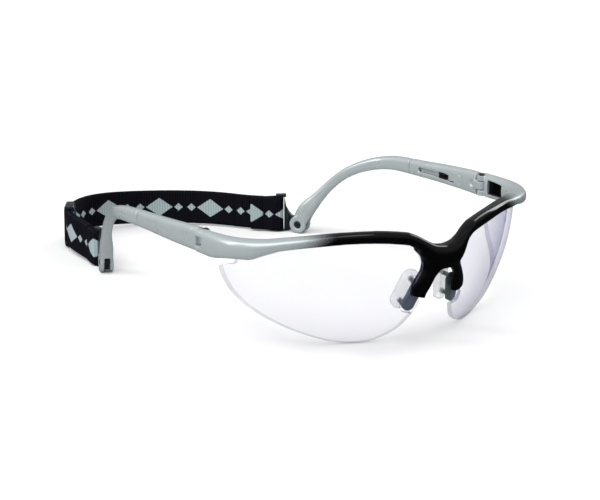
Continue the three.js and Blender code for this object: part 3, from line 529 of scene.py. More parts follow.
def temple_sleeve():
    curve = Curve(SLEEVE)
    rings = []
    for i in range(41):
        y, x, z, height = curve.at(i / 40)
        rings.append(round_ring(vec(HINGE_X + x, HINGE_Y + y, HINGE_Z + z), vec(1, 0, 0), UP,
                                TEMPLE_THICKNESS / 2, height / 2, 3, 40))
    sleeve = loft("sleeve_moulding", rings)
    half_z = KNUCKLE_HEIGHT / 2
    add(sleeve, disc("knuckle", HINGE, UP, KNUCKLE_RADIUS, KNUCKLE_HEIGHT),
        block("knuckle_root", (HINGE_X - KNUCKLE_RADIUS + 0.1, HINGE_Y, HINGE_Z - half_z),
              (HINGE_X + KNUCKLE_RADIUS - 0.1, HINGE_Y + SLEEVE_START + 1, HINGE_Z + half_z)))
    half_x, tongue_z = TONGUE_THICKNESS / 2 + GAP, TONGUE_HEIGHT / 2 + GAP
    cut(sleeve, disc("pin_hole", HINGE, UP, PIN_RADIUS + GAP, 20),
        block("channel", (CHANNEL[0] - half_x, CHANNEL[1], CHANNEL[2] - tongue_z),
              (CHANNEL[0] + half_x, SEAM_Y + 2, CHANNEL[2] + tongue_z)),
        block("window", (CHANNEL[0] - 6, CATCH_Y - 2.6, CHANNEL[2] - 1.3),
              (CHANNEL[0], CATCH_Y + 2.6, CHANNEL[2] + 1.3)),
        block("slot", (CHANNEL[0] - 6, CATCH_Y - 4.4, CHANNEL[2] - NUB_HEIGHT / 2 - GAP),
              (CHANNEL[0], CATCH_Y + LENGTH_TRAVEL + 9, CHANNEL[2] + NUB_HEIGHT / 2 + GAP)))
    inner_x = HINGE_X - TEMPLE_THICKNESS / 2 + 0.95
    for y, z, radius, depth in ((5, 0, 1.45, 0.5), (13, 1.6, 0.55, 0.6), (13, -1.9, 0.55, 0.6)):
        cut(sleeve, disc("dimple", vec(inner_x, HINGE_Y + y, HINGE_Z + z), (1, 0, 0), radius, 2 * depth, 32))
    return melt(sleeve)


PIN_Z = FORK_RADIUS - 0.2
ARM = Curve([(HINGE_X - x, SEAM_Y + y, HINGE_Z - z) for x, y, z in (
    (0.1, GAP, 1.1), (0.2, 5, 1.3), (0.8, 12, 1.8), (2.0, 18.5, 2.9), (4.4, 25.2, 4.8), (7, 31.6, 7.6),
    (9.4, 38, 11.7), (12, 44.2, 17.6), (14.9, 49.4, 24.2))]
    + [(HINGE_X - 17.2, SEAM_Y + 53.2, mix(PIN_Z, HINGE_Z, 0.18)), (HINGE_X - 18.6, SEAM_Y + 56, PIN_Z)])
arm_height = profile([(0, SEAM_HEIGHT), (0.12, 6.3), (0.3, 5.4), (0.5, 4.5), (0.66, 4.2), (0.78, 5), (0.86, 6.7),
                      (0.94, 7.4), (1, FORK_RADIUS * 2 - 0.3)])
arm_thickness = profile([(0, TEMPLE_THICKNESS), (0.3, 4.2), (0.6, 4), (0.78, 4.6), (0.9, FORK_THICKNESS),
                         (1, FORK_THICKNESS)])
PIN = ARM.at(1)
PLAN_ANGLE = math.radians(24.4)
FORK_SIDE = vec(math.cos(PLAN_ANGLE), math.sin(PLAN_ANGLE), 0)
FORK_BACK = vec(-math.sin(PLAN_ANGLE), math.cos(PLAN_ANGLE), 0)


def arm_ring(t):
    tangent = ARM.tangent(t)
    turn = smoothstep(t, 0.1, 0.4) * PLAN_ANGLE
    side = vec(math.cos(turn), math.sin(turn), 0)
    side = unit(side - tangent * np.dot(side, tangent))
    up = np.cross(side, tangent)
    return round_ring(ARM.along(t), side, up, arm_thickness(t) / 2, arm_height(t) / 2, 3, 40)


def temple_arm():
    arm = loft("arm_moulding", [arm_ring(i / 80) for i in range(81)])
    half_x, half_z = TONGUE_THICKNESS / 2, TONGUE_HEIGHT / 2
    front_y = SEAM_Y - TONGUE_LENGTH
    tongue = block("tongue", (CHANNEL[0] - half_x, front_y, CHANNEL[2] - half_z),
                   (CHANNEL[0] + half_x, SEAM_Y + 2, CHANNEL[2] + half_z))
    cut(tongue, block("catch_seat", (CHANNEL[0] - half_x - 1, CATCH_Y - CATCH_LENGTH / 2 - GAP,
                                     CHANNEL[2] - half_z - 1),
                      (CHANNEL[0] + half_x - 0.45, CATCH_Y + CATCH_LENGTH / 2 + GAP, CHANNEL[2] + half_z + 1)))
    add(arm, disc("cheeks", PIN, FORK_SIDE, FORK_RADIUS, FORK_THICKNESS, 64), tongue)
    cut(arm, disc("fork_slot", PIN, FORK_SIDE, SLOT_RADIUS, TAB_THICKNESS + 2 * GAP, 64),
        disc("fork_hole", PIN, FORK_SIDE, FORK_PIN_RADIUS + GAP / 2, 20),
        block("table", (0, 60, -20), (150, 260, 0)))
    return melt(arm)


def hinge_pin():
    half = HINGE_HEIGHT / 2 - 0.5
    shoulder, top = HINGE_HEIGHT / 2 - PIN_HEAD_DEPTH + GAP, HINGE_HEIGHT / 2 - 0.1
    pin = lathe("hinge_screw", [(0.3, -half), (PIN_RADIUS, -half), (PIN_RADIUS, shoulder),
                                (PIN_HEAD_RADIUS, shoulder), (PIN_HEAD_RADIUS, top - 0.2),
                                (PIN_HEAD_RADIUS - 0.3, top), (0.3, top)], HINGE, UP, 32)
    z = HINGE_Z + top
    for wide, long in ((0.18, 0.8), (0.8, 0.18)):
        cut(pin, block("drive", (HINGE_X - wide, HINGE_Y - long, z - 0.35), (HINGE_X + wide, HINGE_Y + long, z + 1)))
    return soften(pin, 0.05, 1)


def fork_pin():
    half, r = FORK_THICKNESS / 2 - 0.1, FORK_PIN_RADIUS
    pin = lathe("fork_rivet", [(0.2, -half), (r - 0.25, -half), (r, -half + 0.2), (r, half - 0.2), (r - 0.25, half),
                               (0.2, half)], PIN, FORK_SIDE, 40)
    for end in (-1, 1):
        cut(pin, disc("dish", PIN + FORK_SIDE * half * end, FORK_SIDE, r - 0.7, 0.5, 32))
    return soften(pin, 0.06, 1)


def length_catch():
    half = TONGUE_THICKNESS / 2
    x, z = CHANNEL[0], CHANNEL[2]
    body = block("catch", (x - half, CATCH_Y - CATCH_LENGTH / 2, z - TONGUE_HEIGHT / 2 + 0.35),
                 (x + half - 0.75, CATCH_Y + CATCH_LENGTH / 2, z + TONGUE_HEIGHT / 2 - 0.35))
    add(body, block("nub", (x - half - 0.7, CATCH_Y - 1.6, z - NUB_HEIGHT / 2),
                    (x - half + 0.1, CATCH_Y + 1.6, z + NUB_HEIGHT / 2)))
    for k in range(-2, 3):
        cut(body, block("rib", (x - half - 0.9, CATCH_Y + k * 0.55 - 0.12, z - 1),
                        (x - half - 0.5, CATCH_Y + k * 0.55 + 0.12, z + 1)))
    return soften(body, 0.08, 1)


# ------------------------------------------------------------------ strap clips, webbing and slider
CLIP_TURN = {1: 35, -1: -25}       # how far the webbing turns from the fork, in degrees
BAR_REACH = 4.9                    # from the knee of a clip to its bar
SLIDER_BACK = 112                  # from the seam to where the strap reaches furthest
STRAP_REACH = 197                  # the same place in the points of the strap


def turned(v, degrees):
    a = math.radians(degrees)
    return vec(v[0] * math.cos(a) - v[1] * math.sin(a), v[0] * math.sin(a) + v[1] * math.cos(a), v[2])


def clip_frame(side):
    back, pin = FORK_BACK * vec(side, 1, 1), PIN * vec(side, 1, 1)
    run = turned(back, CLIP_TURN[side] * side)
    knee = pin + back * (SLOT_RADIUS - 0.6)
    bar = knee + run * BAR_REACH
    bar[2] = WEBBING_Z
    return back, pin, run, knee, bar


def strap_clip(side):
    back, pin, run, knee, bar = clip_frame(side)
    across = FORK_SIDE * vec(side, 1, 1)
    half = TAB_THICKNESS / 2
    turned_side = turned(across, CLIP_TURN[side] * side)
    between = unit(across + turned_side)
    stations = [(pin, across, 0, 2.8, 0.1), (knee - back * 1.6, across, 0, 3.3, 0.2), (knee, between, 0, 4.4, 0.8),
                (knee + run * 1.2, turned_side, 0.3, 6, 1.6), (knee + run * 2, turned_side, 0.4, 7.4, 2)]
    rings = []
    for p, wideway, grow, high, lift in stations:
        z = pin[2] + lift + (WEBBING_Z - pin[2] - lift if high > 7 else 0)
        rings.append(round_ring(vec(p[0], p[1], z), wideway, UP, half + grow, high, 5, 40))
    clip = add(loft("clip_moulding", rings), disc("eye", pin, across, FORK_RADIUS - 0.9, TAB_THICKNESS, 48))
    bar_end = WEBBING_WIDTH / 2 + 0.1
    for z in (-1, 1):
        centre = knee + run * 3.5
        centre[2] = WEBBING_Z + z * (bar_end + 0.55)
        add(clip, loft("clip_side", [round_ring(centre + run * d, turned_side, UP, 1.1, 0.75, 5, 24)
                                     for d in (-2.2, 2.2)]))
    add(clip, disc("clip_bar", bar, UP, CLIP_BAR / 2, 2 * bar_end + 1.2, 32))
    cut(clip, disc("clip_hole", pin, across, FORK_PIN_RADIUS + GAP / 2, 20),
        block("clip_table", (-200, 0, -20), (200, 300, 0)))
    return soften(clip, 0.12)


LEFT_BAR, RIGHT_BAR = clip_frame(1)[4], clip_frame(-1)[4]
STRAP = Curve([LEFT_BAR[:2]] + [(x, SEAM_Y + SLIDER_BACK + y - STRAP_REACH) for x, y in (
    (38, 154.6), (33.4, 160.4), (29, 167.4), (22.3, 175.4), (14, 182.6), (4.5, 188.8), (-5.5, 193.8), (-15, 196.8),
    (-24, 196.6), (-32.4, 192.8), (-40, 186.2), (-45.6, 178), (-47.8, 169.4), (-48.4, 161))] + [RIGHT_BAR[:2]])
STRAP_LENGTH = STRAP.length
webbing_z = profile([(0, WEBBING_Z), (0.4, WEBBING_Z + 0.6), (0.78, WEBBING_Z + 1.5), (1, WEBBING_Z)])
LOOP = CLIP_BAR / 2 + GAP
LAYER = (WEBBING_THICKNESS + GAP) / 2
END_REACH, BESIDE_LEFT, LEFT_TAIL = 6.5, 20, 12
BACK_END = STRAP_LENGTH - 39
SLIDER_AT = BACK_END + 4.5


def strap_side(u):
    tangent = STRAP.tangent(u)
    return vec(*STRAP.along(u), 0), vec(tangent[0], tangent[1], 0), vec(tangent[1], -tangent[0], 0)


def band(name, centres, outwards, starts):
    """Webbing along centres: outwards gives its thin direction, and starts the place along the whole strap.
    Its UV map runs in millimetres, along the strap and up the webbing."""
    half_t, half_w = WEBBING_THICKNESS / 2, WEBBING_WIDTH / 2
    rim, rows = 0.35, 14
    edge_t, edge_w = half_t * 0.55, half_w - 0.03
    section = [(half_t, mix(-half_w + rim, half_w - rim, k / rows)) for k in range(rows + 1)]
    section += [(edge_t, edge_w), (-edge_t, edge_w)]
    section += [(-half_t, mix(half_w - rim, -half_w + rim, k / rows)) for k in range(rows + 1)]
    section += [(-edge_t, -edge_w), (edge_t, -edge_w)]
    rings = [[c + o * t + UP * z for t, z in section] for c, o in zip(centres, outwards)]
    mesh = new_mesh(name, *skin(rings))
    layer = mesh.uv_layers.new(name="webbing")
    for loop in mesh.loops:
        ring, place = divmod(loop.vertex_index, len(section))
        layer.data[loop.index].uv = (starts[ring], section[place][1])
    obj = linked(name, mesh)
    bm = bmesh.new()
    bm.from_mesh(mesh)
    bmesh.ops.recalc_face_normals(bm, faces=bm.faces)
    for face in bm.faces:
        face.smooth = len(face.verts) == 4
    bm.to_mesh(mesh)
    bm.free()
    return obj


def run(name, start, end, offset, shift=0.0):
    """Webbing between two places along the strap; shift moves the pattern woven into it."""
    count = max(4, int(end - start))
    centres, outwards, places = [], [], []
    for i in range(count + 1):
        d = mix(start, end, i / count)
        p, _, outward = strap_side(d / STRAP_LENGTH)
        centres.append(p + outward * offset + UP * webbing_z(d / STRAP_LENGTH))
        outwards.append(outward)
        places.append(d + shift)
    return band(name, centres, outwards, places)


def end_loop(name, at_start, reach):
    """The webbing round the bar of a clip, with both layers side by side."""
    bar, layer = (LEFT_BAR, RIGHT_BAR)[not at_start], LOOP + WEBBING_THICKNESS / 2

    def share(d):
        return d / STRAP_LENGTH if at_start else 1 - d / STRAP_LENGTH

    def beside(d, sign):
        p, _, outward = strap_side(share(d))
        return p + outward * sign * mix(layer, LAYER, smoothstep(d, 1, 6))

    stops = [mix(reach, 1.2, k / 7) for k in range(8)]
    path = [beside(d, -1) for d in stops]
    _, tangent, _ = strap_side(share(0))
    ahead = tangent * (-1 if at_start else 1)
    outward = vec(tangent[1], -tangent[0], 0)
    for i in range(17):
        t = math.pi * i / 16 - math.pi / 2
        path.append(vec(bar[0], bar[1], 0) + outward * layer * math.sin(t) + ahead * layer * math.cos(t))
    path += [beside(d, 1) for d in reversed(stops)]
    centres, outwards, places = [], [], []
    length = 0
    for i, p in enumerate(path):
        step = unit(path[min(i + 1, len(path) - 1)] - path[max(i - 1, 0)])
        if i:
            length += np.linalg.norm(p - path[i - 1])
        centres.append(p + UP * WEBBING_Z)
        outwards.append(vec(step[1], -step[0], 0))
        places.append(length)
    return band(name, centres, outwards, places)


def slider():
    p, tangent, outward = strap_side(SLIDER_AT / STRAP_LENGTH)
    centre = p + UP * webbing_z(SLIDER_AT / STRAP_LENGTH)
    length, thickness, height = SLIDER_SIZE

    def ring(d, grow):
        return round_ring(centre + tangent * d, outward, UP, thickness / 2 + grow, height / 2 + grow, 7, 48)

    ends = [(-length / 2, -0.45), (-length / 2 + 0.15, -0.2), (-length / 2 + 0.6, 0)]
    body = loft("slider_moulding", [ring(d, g) for d, g in ends] + [ring(-d, g) for d, g in reversed(ends)])
    opening = [round_ring(centre + tangent * d, outward, UP, WEBBING_THICKNESS + 0.75, WEBBING_WIDTH / 2 + GAP,
                          12, 32) for d in (-length, length)]
    cut(body, loft("slider_opening", opening))
    for face in (-1, 1):
        for k in range(-2, 3):
            middle = centre + tangent * k * 1.15 + outward * face * (thickness / 2 + 0.02)
            groove = loft("grip", [round_ring(middle + UP * z, tangent, outward, 0.28, 0.2, 2, 12)
                                   for z in (-6.2, 6.2)])
            cut(body, groove)
    return soften(body, 0.15)


def stitches(name, start, end, rows, offset):
    """Rows of short threads across the webbing, standing a little proud of its face."""
    stops = [(-0.72, 0.04, -0.06), (-0.4, 0.13, 0.05), (0, 0.16, 0.09), (0.4, 0.13, 0.05), (0.72, 0.04, -0.06)]
    threads = []
    for d in np.linspace(start, end, rows):
        p, tangent, outward = strap_side(d / STRAP_LENGTH)
        for k in range(7):
            z = webbing_z(d / STRAP_LENGTH) + (k - 3) * 1.75
            lean = tangent * 0.28 * (-1) ** k
            middle = p + outward * (offset + (WEBBING_THICKNESS / 2 + 0.02))
            threads.append([round_ring(middle + UP * (z + t) + lean * t + outward * rise, tangent, outward,
                                       r, r, 2, 8) for t, r, rise in stops])
    return joined(name, [loft(name, rings) for rings in threads])


def joined(name, pieces):
    """Several loose pieces as one object."""
    bm = bmesh.new()
    for piece in pieces:
        bm.from_mesh(piece.data)
        mesh = piece.data
        bpy.data.objects.remove(piece)
        bpy.data.meshes.remove(mesh)
    mesh = bpy.data.meshes.new(name)
    bm.to_mesh(mesh)
    bm.free()
    return linked(name, mesh)


# ------------------------------------------------------------------ materials
class Shader:
    """A node material: sockets are set by name, and math() builds formulas."""

    def __init__(self, name, **sockets):
        self.material = bpy.data.materials.new(name)
        self.material.use_nodes = True
        self.tree = self.material.node_tree
        self.main = self.tree.nodes["Principled BSDF"]
        for socket, value in sockets.items():
            self.set(socket.replace("_", " "), value)

    def set(self, socket, value):
        target = self.main.inputs[socket]
        if isinstance(value, bpy.types.NodeSocket):
            self.tree.links.new(value, target)
        else:
            target.default_value = (*value, 1) if isinstance(value, tuple) and len(value) == 3 else value

    def node(self, kind, inputs=(), **settings):
        made = self.tree.nodes.new(kind)
        for key, value in settings.items():
            setattr(made, key, value)
        for key, value in dict(inputs).items():
            if isinstance(value, bpy.types.NodeSocket):
                self.tree.links.new(value, made.inputs[key])
            else:
                made.inputs[key].default_value = value
        return made

    def math(self, operation, a, b=0.0, c=0.0):
        return self.node("ShaderNodeMath", {0: a, 1: b, 2: c}, operation=operation).outputs[0]

    def place(self):
        """Where a point is in the row frame at rest, in metres."""
        return self.node("ShaderNodeTexCoord").outputs["Object"]

    def noise(self, scale, detail=2.0, rough=0.5, vector=None):
        inputs = {"Scale": scale, "Detail": detail, "Roughness": rough, "Vector": vector or self.place()}
        return self.node("ShaderNodeTexNoise", inputs).outputs["Fac"]

    def ramp(self, value, low, high, a=0.0, b=1.0):
        inputs = {"Value": value, "From Min": low, "From Max": high, "To Min": a, "To Max": b}
        return self.node("ShaderNodeMapRange", inputs, interpolation_type="SMOOTHSTEP").outputs["Result"]

    def mix(self, factor, a, b):
        made = self.node("ShaderNodeMix", {"Factor": factor}, data_type="RGBA")
        for slot, value in ((6, a), (7, b)):
            if isinstance(value, bpy.types.NodeSocket):
                self.tree.links.new(value, made.inputs[slot])
            else:
                made.inputs[slot].default_value = (*value, 1)
        return made.outputs[2]

    def bump(self, height, distance, strength=1.0):
        inputs = {"Height": height, "Distance": distance, "Strength": strength}
        self.set("Normal", self.node("ShaderNodeBump", inputs).outputs["Normal"])


SILVER, SILVER_LIGHT = (0.45, 0.505, 0.515), (0.545, 0.60, 0.61)
SILVER_METAL = 0.3
BLACK = (0.0015, 0.0015, 0.002)
MOTIF_PITCH = 23.0


def silver_paint():
    shader = Shader("silver_paint", Metallic=SILVER_METAL, Coat_Weight=0.35, Coat_Roughness=0.12)
    flake = shader.ramp(shader.noise(5000, 1), 0.3, 0.7)
    cloud = shader.noise(140, 2)
    shader.set("Base Color", shader.mix(flake, SILVER, SILVER_LIGHT))
    shader.set("Roughness", shader.ramp(cloud, 0.3, 0.75, 0.27, 0.36))
    shader.bump(cloud, 0.00003, 0.1)
    return shader.material


def pocket_mask(shader, out, y, z):
    """The unpainted black inside of the pocket in front of a hinge: 1 inside it, 0 elsewhere."""
    y_low, y_high = ((HINGE_Y + d + ORIGIN.y) / 1000 for d in (-POCKET_FRONT, -POCKET_BACK))
    z_low, z_high = ((HINGE_Z + d) / 1000 for d in (-POCKET_HALF, POCKET_HALF))
    mask = shader.ramp(out, (HINGE_X + 0.7) / 1000, (HINGE_X + 0.9) / 1000, 1, 0)
    for value, low, high in ((y, y_low, y_high), (z, z_low, z_high)):
        mask = shader.math("MULTIPLY", mask, shader.ramp(value, low - 0.0001, low + 0.0001))
        mask = shader.math("MULTIPLY", mask, shader.ramp(value, high - 0.0001, high + 0.0001, 1, 0))
    return mask


def front_paint():
    shader = Shader("front_paint", Coat_Weight=0.2, Coat_Roughness=0.05, Specular_IOR_Level=0.25)
    calc = shader.math
    x, y, z = shader.node("ShaderNodeSeparateXYZ", {0: shader.place()}).outputs
    out = calc("ABSOLUTE", x)
    speckle = calc("SUBTRACT", shader.noise(2600, 3, 0.7), 0.5)
    # partly painted highlight: this z ramp carries the silver up to 5.5 mm further in along the top of the bar, so
    # the two-tone fade also stands in for the gloss highlight along the top
    height = shader.ramp(z, 0.0405, 0.0465, 0.0, 0.0055)
    spread = calc("ADD", calc("ADD", out, height), calc("MULTIPLY", speckle, 0.009))
    silver = shader.ramp(spread, 0.0475, 0.0625)
    flake = shader.ramp(shader.noise(5000, 1), 0.3, 0.7)
    silver = calc("MULTIPLY", silver, calc("SUBTRACT", 1.0, pocket_mask(shader, out, y, z)))
    shader.set("Base Color", shader.mix(silver, BLACK, shader.mix(flake, SILVER, SILVER_LIGHT)))
    shader.set("Metallic", calc("MULTIPLY", silver, SILVER_METAL))
    shader.set("Roughness", calc("ADD", shader.ramp(silver, 0, 1, 0.09, 0.28),
                                        shader.ramp(shader.noise(180, 3), 0.3, 0.8, 0.0, 0.05)))
    shader.bump(shader.noise(700, 3), 0.00003, 0.12)
    return shader.material


def lens_clear():
    shader = Shader("lens_clear", Roughness=0.03, IOR=1.58, Specular_IOR_Level=0.5)
    facing = shader.node("ShaderNodeLayerWeight", {"Blend": 0.35}).outputs["Facing"]
    haze = shader.noise(60, 2)
    shader.set("Base Color", shader.mix(shader.ramp(haze, 0.3, 0.7), (0.22, 0.22, 0.50), (0.28, 0.29, 0.52)))
    shader.set("Alpha", shader.ramp(facing, 0.2, 0.97, 0.075, 0.42))
    return shader.material


def lens_rim_painted_shade():
    """The sawn and polished edge of the lens: its grey is painted shade, so that the clear edge reads as a thin grey
    line.
    """
    shader = Shader("lens_rim_painted_shade", Roughness=0.16, IOR=1.58)
    # painted shade: a grey colour given to the clear edge faces
    shader.set("Base Color", shader.mix(shader.noise(900, 3), (0.10, 0.11, 0.12), (0.24, 0.25, 0.27)))
    shader.set("Alpha", shader.ramp(shader.noise(35, 2), 0.3, 0.7, 0.28, 0.42))
    return shader.material


def moulded(name, colour, lighter, roughness=0.4, grain=1500, coat=0.0):
    shader = Shader(name, Coat_Weight=coat, Coat_Roughness=0.2)
    cloud = shader.noise(260, 3)
    grain_height = shader.noise(grain, 3, 0.6)
    shader.set("Base Color", shader.mix(shader.ramp(cloud, 0.3, 0.75), colour, lighter))
    shader.set("Roughness", shader.ramp(grain_height, 0.3, 0.7, roughness - 0.06, roughness + 0.07))
    shader.bump(grain_height, 0.00004, 0.35)
    return shader.material


def silicone():
    shader = Shader("clear_silicone", Roughness=0.2, IOR=1.41)
    cloud = shader.noise(220, 2)
    facing = shader.node("ShaderNodeLayerWeight", {"Blend": 0.4}).outputs["Facing"]
    shader.set("Base Color", shader.mix(shader.ramp(cloud, 0.3, 0.75), (0.66, 0.70, 0.71), (0.80, 0.83, 0.84)))
    shader.set("Alpha", shader.ramp(facing, 0.2, 0.95, 0.22, 0.8))
    shader.bump(shader.noise(900, 2), 0.00004, 0.2)
    return shader.material


def steel():
    shader = Shader("shaded_screw_steel", Metallic=1.0)
    brushed = shader.noise(1800, 4, 0.7)
    # painted shade: the steel's own grey is kept far darker than bright steel, standing in for the shadow on the
    # screw head in the hinge
    shader.set("Base Color", shader.mix(brushed, (0.05, 0.05, 0.055), (0.16, 0.165, 0.17)))
    shader.set("Roughness", shader.ramp(brushed, 0.3, 0.7, 0.2, 0.34))
    return shader.material


def woven():
    """Elastic webbing: ribs across it, fine warp threads along it, and a light lozenge woven in at intervals."""
    shader = Shader("woven_elastic", Sheen_Weight=0.02, Sheen_Roughness=0.4, Specular_IOR_Level=0.1)
    calc = shader.math
    shader.main.inputs["Sheen Tint"].default_value = (0.35, 0.4, 0.62, 1)
    uv = shader.node("ShaderNodeUVMap", uv_map="webbing").outputs["UV"]
    u, v, _ = shader.node("ShaderNodeSeparateXYZ", {0: uv}).outputs

    def turns(value, pitch):
        return calc("MULTIPLY", value, 2 * math.pi / pitch)

    rib = calc("SINE", turns(u, 1.15))
    stagger = calc("MULTIPLY", calc("SIGN", calc("SINE", turns(v, 1.3))), math.pi / 2)
    thread = calc("SINE", calc("ADD", turns(u, 0.9), stagger))
    warp = calc("ABSOLUTE", calc("SINE", turns(v, 1.3)))
    weave = calc("ADD", calc("MULTIPLY", rib, 0.35),
                        calc("MULTIPLY", calc("ADD", calc("MULTIPLY", thread, 0.5), 0.5), warp))
    fuzz = shader.noise(3500, 3, 0.7)
    weave = calc("ADD", weave, calc("MULTIPLY", fuzz, 0.5))
    phase = calc("SUBTRACT", calc("FRACT", calc("DIVIDE", u, MOTIF_PITCH)), 0.5)
    along = calc("ABSOLUTE", calc("MULTIPLY", phase, MOTIF_PITCH))
    across = calc("ABSOLUTE", v)

    def lozenge(shift, long, wide):
        reach = calc("ABSOLUTE", calc("SUBTRACT", along, shift))
        return calc("ADD", calc("DIVIDE", reach, long), calc("DIVIDE", across, wide))

    wobble = calc("MULTIPLY", calc("SUBTRACT", fuzz, 0.5), 0.22)
    shape = calc("MINIMUM", lozenge(0, 6.2, 4.3), lozenge(8.6, 2, 1.8))
    motif = shader.ramp(calc("ADD", shape, wobble), 0.93, 1.0, 1.0, 0.0)
    dark = shader.mix(shader.ramp(weave, 0.0, 1.5), (0.001, 0.001, 0.0022), (0.0065, 0.0068, 0.014))
    light = shader.mix(shader.ramp(weave, 0.0, 1.3), (0.24, 0.31, 0.325), (0.46, 0.55, 0.56))
    shader.set("Base Color", shader.mix(motif, dark, light))
    shader.set("Roughness", shader.ramp(weave, 0, 1.5, 0.85, 0.6))
    shader.bump(weave, 0.00012, 0.55)
    return shader.material


def floor_paint():
    shader = Shader("studio_floor", Roughness=0.75)
    shader.set("Base Color", shader.mix(shader.noise(3, 2), (0.93, 0.93, 0.935), (0.95, 0.95, 0.955)))
    return shader.material


# ------------------------------------------------------------------ the pieces
def finish_piece(obj, name, body, slot, material, *nodes):
    obj.name = obj.data.name = name
    obj.data.materials.clear()
    obj.data.materials.append(material)
    if body:
        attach(obj, body)
    if nodes:
        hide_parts(*nodes)
    return obj


silver = silver_paint()
clip_plastic = moulded("clip_plastic", (0.007, 0.013, 0.016), (0.014, 0.022, 0.026), 0.34, 1500, 0.3)
holder_plastic = moulded("holder_plastic", (0.050, 0.072, 0.068), (0.092, 0.122, 0.115), 0.36, 1400, 0.15)
catch_plastic = moulded("catch_plastic", (0.004, 0.004, 0.005), (0.011, 0.011, 0.013), 0.42)
lens_material, pad_material, shaded_screw_steel, elastic = lens_clear(), silicone(), steel(), woven()

finish_piece(front(), "front_shell", "front", "frame_moulding", front_paint(), "front_frame")
pairs = [  # maker, name, body, slot, material, node
    (lens, "lens_glass", "front", "lens", lens_material, "lens"),
    (temple_sleeve, "temple_sleeve_shell", "temple_{}", "silver_moulding", silver, "temple_sleeve"),
    (temple_arm, "temple_arm_shell", "arm_{}", "silver_moulding", silver, "temple_arm"),
    (length_catch, "catch_button", "arm_{}", "catch_moulding", catch_plastic, "length_catch"),
    (hinge_pin, "hinge_screw", "front", "steel", shaded_screw_steel, "hinge_pin"),
    (fork_pin, "fork_rivet", "arm_{}", "clip_moulding", clip_plastic, "fork_pin"),
    (pad_holder, "pad_holder", "pad_{}", "grey_moulding", holder_plastic, "nose_pad_holder"),
    (nose_pad, "soft_pad", "pad_{}", "clear_silicone", pad_material, "nose_pad"),
]
for make, name, body, slot_name, material, node in pairs:
    left = make()
    right = mirrored(left, f"{name}_right")
    for obj, side in ((left, "left"), (right, "right")):
        finish_piece(obj, f"{name}_{side}", body.format(side), slot_name, material, f"{node}_{side}")
rim_material = lens_rim_painted_shade()
for sign, side in ((1, "left"), (-1, "right")):
    edge_rim(bpy.data.objects[f"lens_glass_{side}"], sign, rim_material)
    finish_piece(strap_clip(sign), f"clip_shell_{side}", f"clip_{side}", "clip_moulding", clip_plastic,
                 f"strap_clip_{side}")
finish_piece(slider(), "slider_shell", "slider", "clip_moulding", clip_plastic, "strap_slider")


def strap_point(d):
    """A place along the strap, in metres in the row frame."""
    p, _, _ = strap_side(d / STRAP_LENGTH)
    return tuple((Vector(p + UP * webbing_z(d / STRAP_LENGTH)) + ORIGIN) / 1000)


MIDDLE = 62.0
BACK_SPLIT = BACK_END - 6
END = STRAP_LENGTH
OUTER_SHIFT, RETURN_SHIFT = 3, 10  # how far the woven pattern is moved along the strap
# name, webbing, two bodies, two places along the strap, nodes
webs = [
    ("elastic_loop_left", end_loop("loop", True, END_REACH), ("clip_left", "arm_left"), (0.5, END_REACH),
     ["strap_loop_left"]),
    ("elastic_run_left", run("run", END_REACH, BESIDE_LEFT, LAYER, shift=OUTER_SHIFT), ("arm_left", "temple_left"),
     (END_REACH, BESIDE_LEFT), ["strap_run_left"]),
    ("elastic_tail_left", run("tail", END_REACH, LEFT_TAIL, -LAYER), ("arm_left", "temple_left"),
     (END_REACH, BESIDE_LEFT), ["strap_tail_left"]),
    ("elastic_side_left", run("side", BESIDE_LEFT, MIDDLE, LAYER, shift=OUTER_SHIFT), ("temple_left", "front"),
     (BESIDE_LEFT, MIDDLE), ["strap_side_left"]),
    ("elastic_back", run("back", MIDDLE, BACK_SPLIT, LAYER, shift=OUTER_SHIFT), ("front", "temple_right"),
     (MIDDLE, BACK_SPLIT), ["strap_back"]),
    ("elastic_side_right", run("outer", BACK_SPLIT, END - END_REACH, LAYER, shift=OUTER_SHIFT),
     ("temple_right", "arm_right"), (BACK_SPLIT, BACK_END - 1), ["strap_side_right", "strap_run_right"]),
    ("elastic_return_right", run("inner", SLIDER_AT + 1, END - END_REACH, -LAYER, shift=RETURN_SHIFT), None, None,
     ["strap_return_side_right", "strap_return_run_right"]),
    ("elastic_loop_right", end_loop("loop", False, END_REACH), ("clip_right", "arm_right"),
     (END - 0.5, END - END_REACH), ["strap_loop_right"]),
]
for name, obj, bodies, ends, nodes in webs:
    finish_piece(obj, name, None if bodies else "arm_right", "webbing", elastic, *nodes)
    if bodies:
        strap_point(ends[0])
        strap_point(ends[1])
        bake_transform(obj)

thread = moulded("sewing_thread", (0.012, 0.012, 0.016), (0.03, 0.03, 0.038), 0.6, 4000)
finish_piece(stitches("stitches_left", 8.6, 10.6, 3, LAYER), "stitches_left", "arm_left", "webbing", thread)

# ------------------------------------------------------------------ floor, light and camera
bpy.ops.mesh.primitive_grid_add(x_subdivisions=8, y_subdivisions=8, size=6, location=(0, 0, -0.0002))
floor = bpy.context.active_object
floor.name = "studio_floor"
floor.data.materials.append(floor_paint())
floor.visible_glossy = False       # the gloss black mirrors the dim studio, not the lit floor

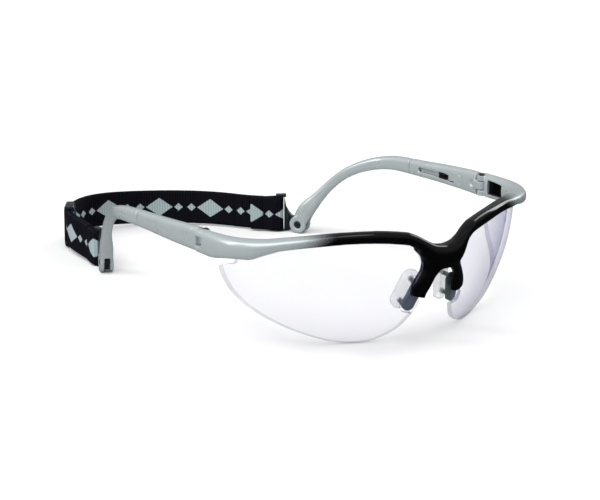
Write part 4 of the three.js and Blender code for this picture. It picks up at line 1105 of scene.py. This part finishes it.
world = bpy.data.worlds.new("studio")
bpy.context.scene.world = world
world.use_nodes = True
sky = world.node_tree.nodes["Background"]
sky.inputs["Strength"].default_value = 0.32
direction = world.node_tree.nodes.new("ShaderNodeTexCoord").outputs["Generated"]
height = world.node_tree.nodes.new("ShaderNodeSeparateXYZ")
fade = world.node_tree.nodes.new("ShaderNodeMapRange")
for name, value in (("From Min", -0.1), ("From Max", 0.35), ("To Min", 0.06), ("To Max", 1)):
    fade.inputs[name].default_value = value
world.node_tree.links.new(direction, height.inputs[0])
world.node_tree.links.new(height.outputs["Z"], fade.inputs["Value"])
world.node_tree.links.new(fade.outputs["Result"], sky.inputs["Color"])
bpy.context.scene.view_settings.view_transform = "Standard"


def aim(obj, place, target=(0, 0, 0.02)):
    obj.location = place
    obj.rotation_euler = (Vector(target) - Vector(place)).to_track_quat("-Z", "Y").to_euler()
    bpy.context.scene.collection.objects.link(obj)


def softbox(name, place, size, power):
    light = bpy.data.lights.new(name, "AREA")
    light.shape = "RECTANGLE"
    light.size, light.size_y = size
    light.energy = power
    aim(bpy.data.objects.new(name, light), place)


def overhead(name, place, angle, power):
    """An even, very soft light from one direction, like a large diffuser far away."""
    light = bpy.data.lights.new(name, "SUN")
    light.angle = math.radians(angle)
    light.energy = power
    aim(bpy.data.objects.new(name, light), place)


overhead("diffuser", (-0.45, -0.25, 1.0), 60, 2.2)
softbox("strip_right", (1.0, 0.1, 0.5), (0.4, 0.9), 5)
softbox("strip_left", (-0.9, 0.5, 0.7), (0.3, 0.9), 5)

AZIMUTH, ELEVATION = math.radians(-37), math.radians(16.05)
right = Vector((math.cos(AZIMUTH), math.sin(AZIMUTH), 0))
back = Vector((math.sin(AZIMUTH) * math.cos(ELEVATION), -math.cos(AZIMUTH) * math.cos(ELEVATION),
               math.sin(ELEVATION)))
up = back.cross(right)
camera = bpy.data.objects.new("camera", bpy.data.cameras.new("camera"))
camera.data.sensor_width = 36
camera.data.lens = 153.1
place = (Vector((-608.29, -734.04, 306.75)) + ORIGIN) / 1000
camera.matrix_world = Matrix.Translation(place) @ Matrix((right, up, back)).transposed().to_4x4()
bpy.context.scene.collection.objects.link(camera)
bpy.context.scene.camera = camera
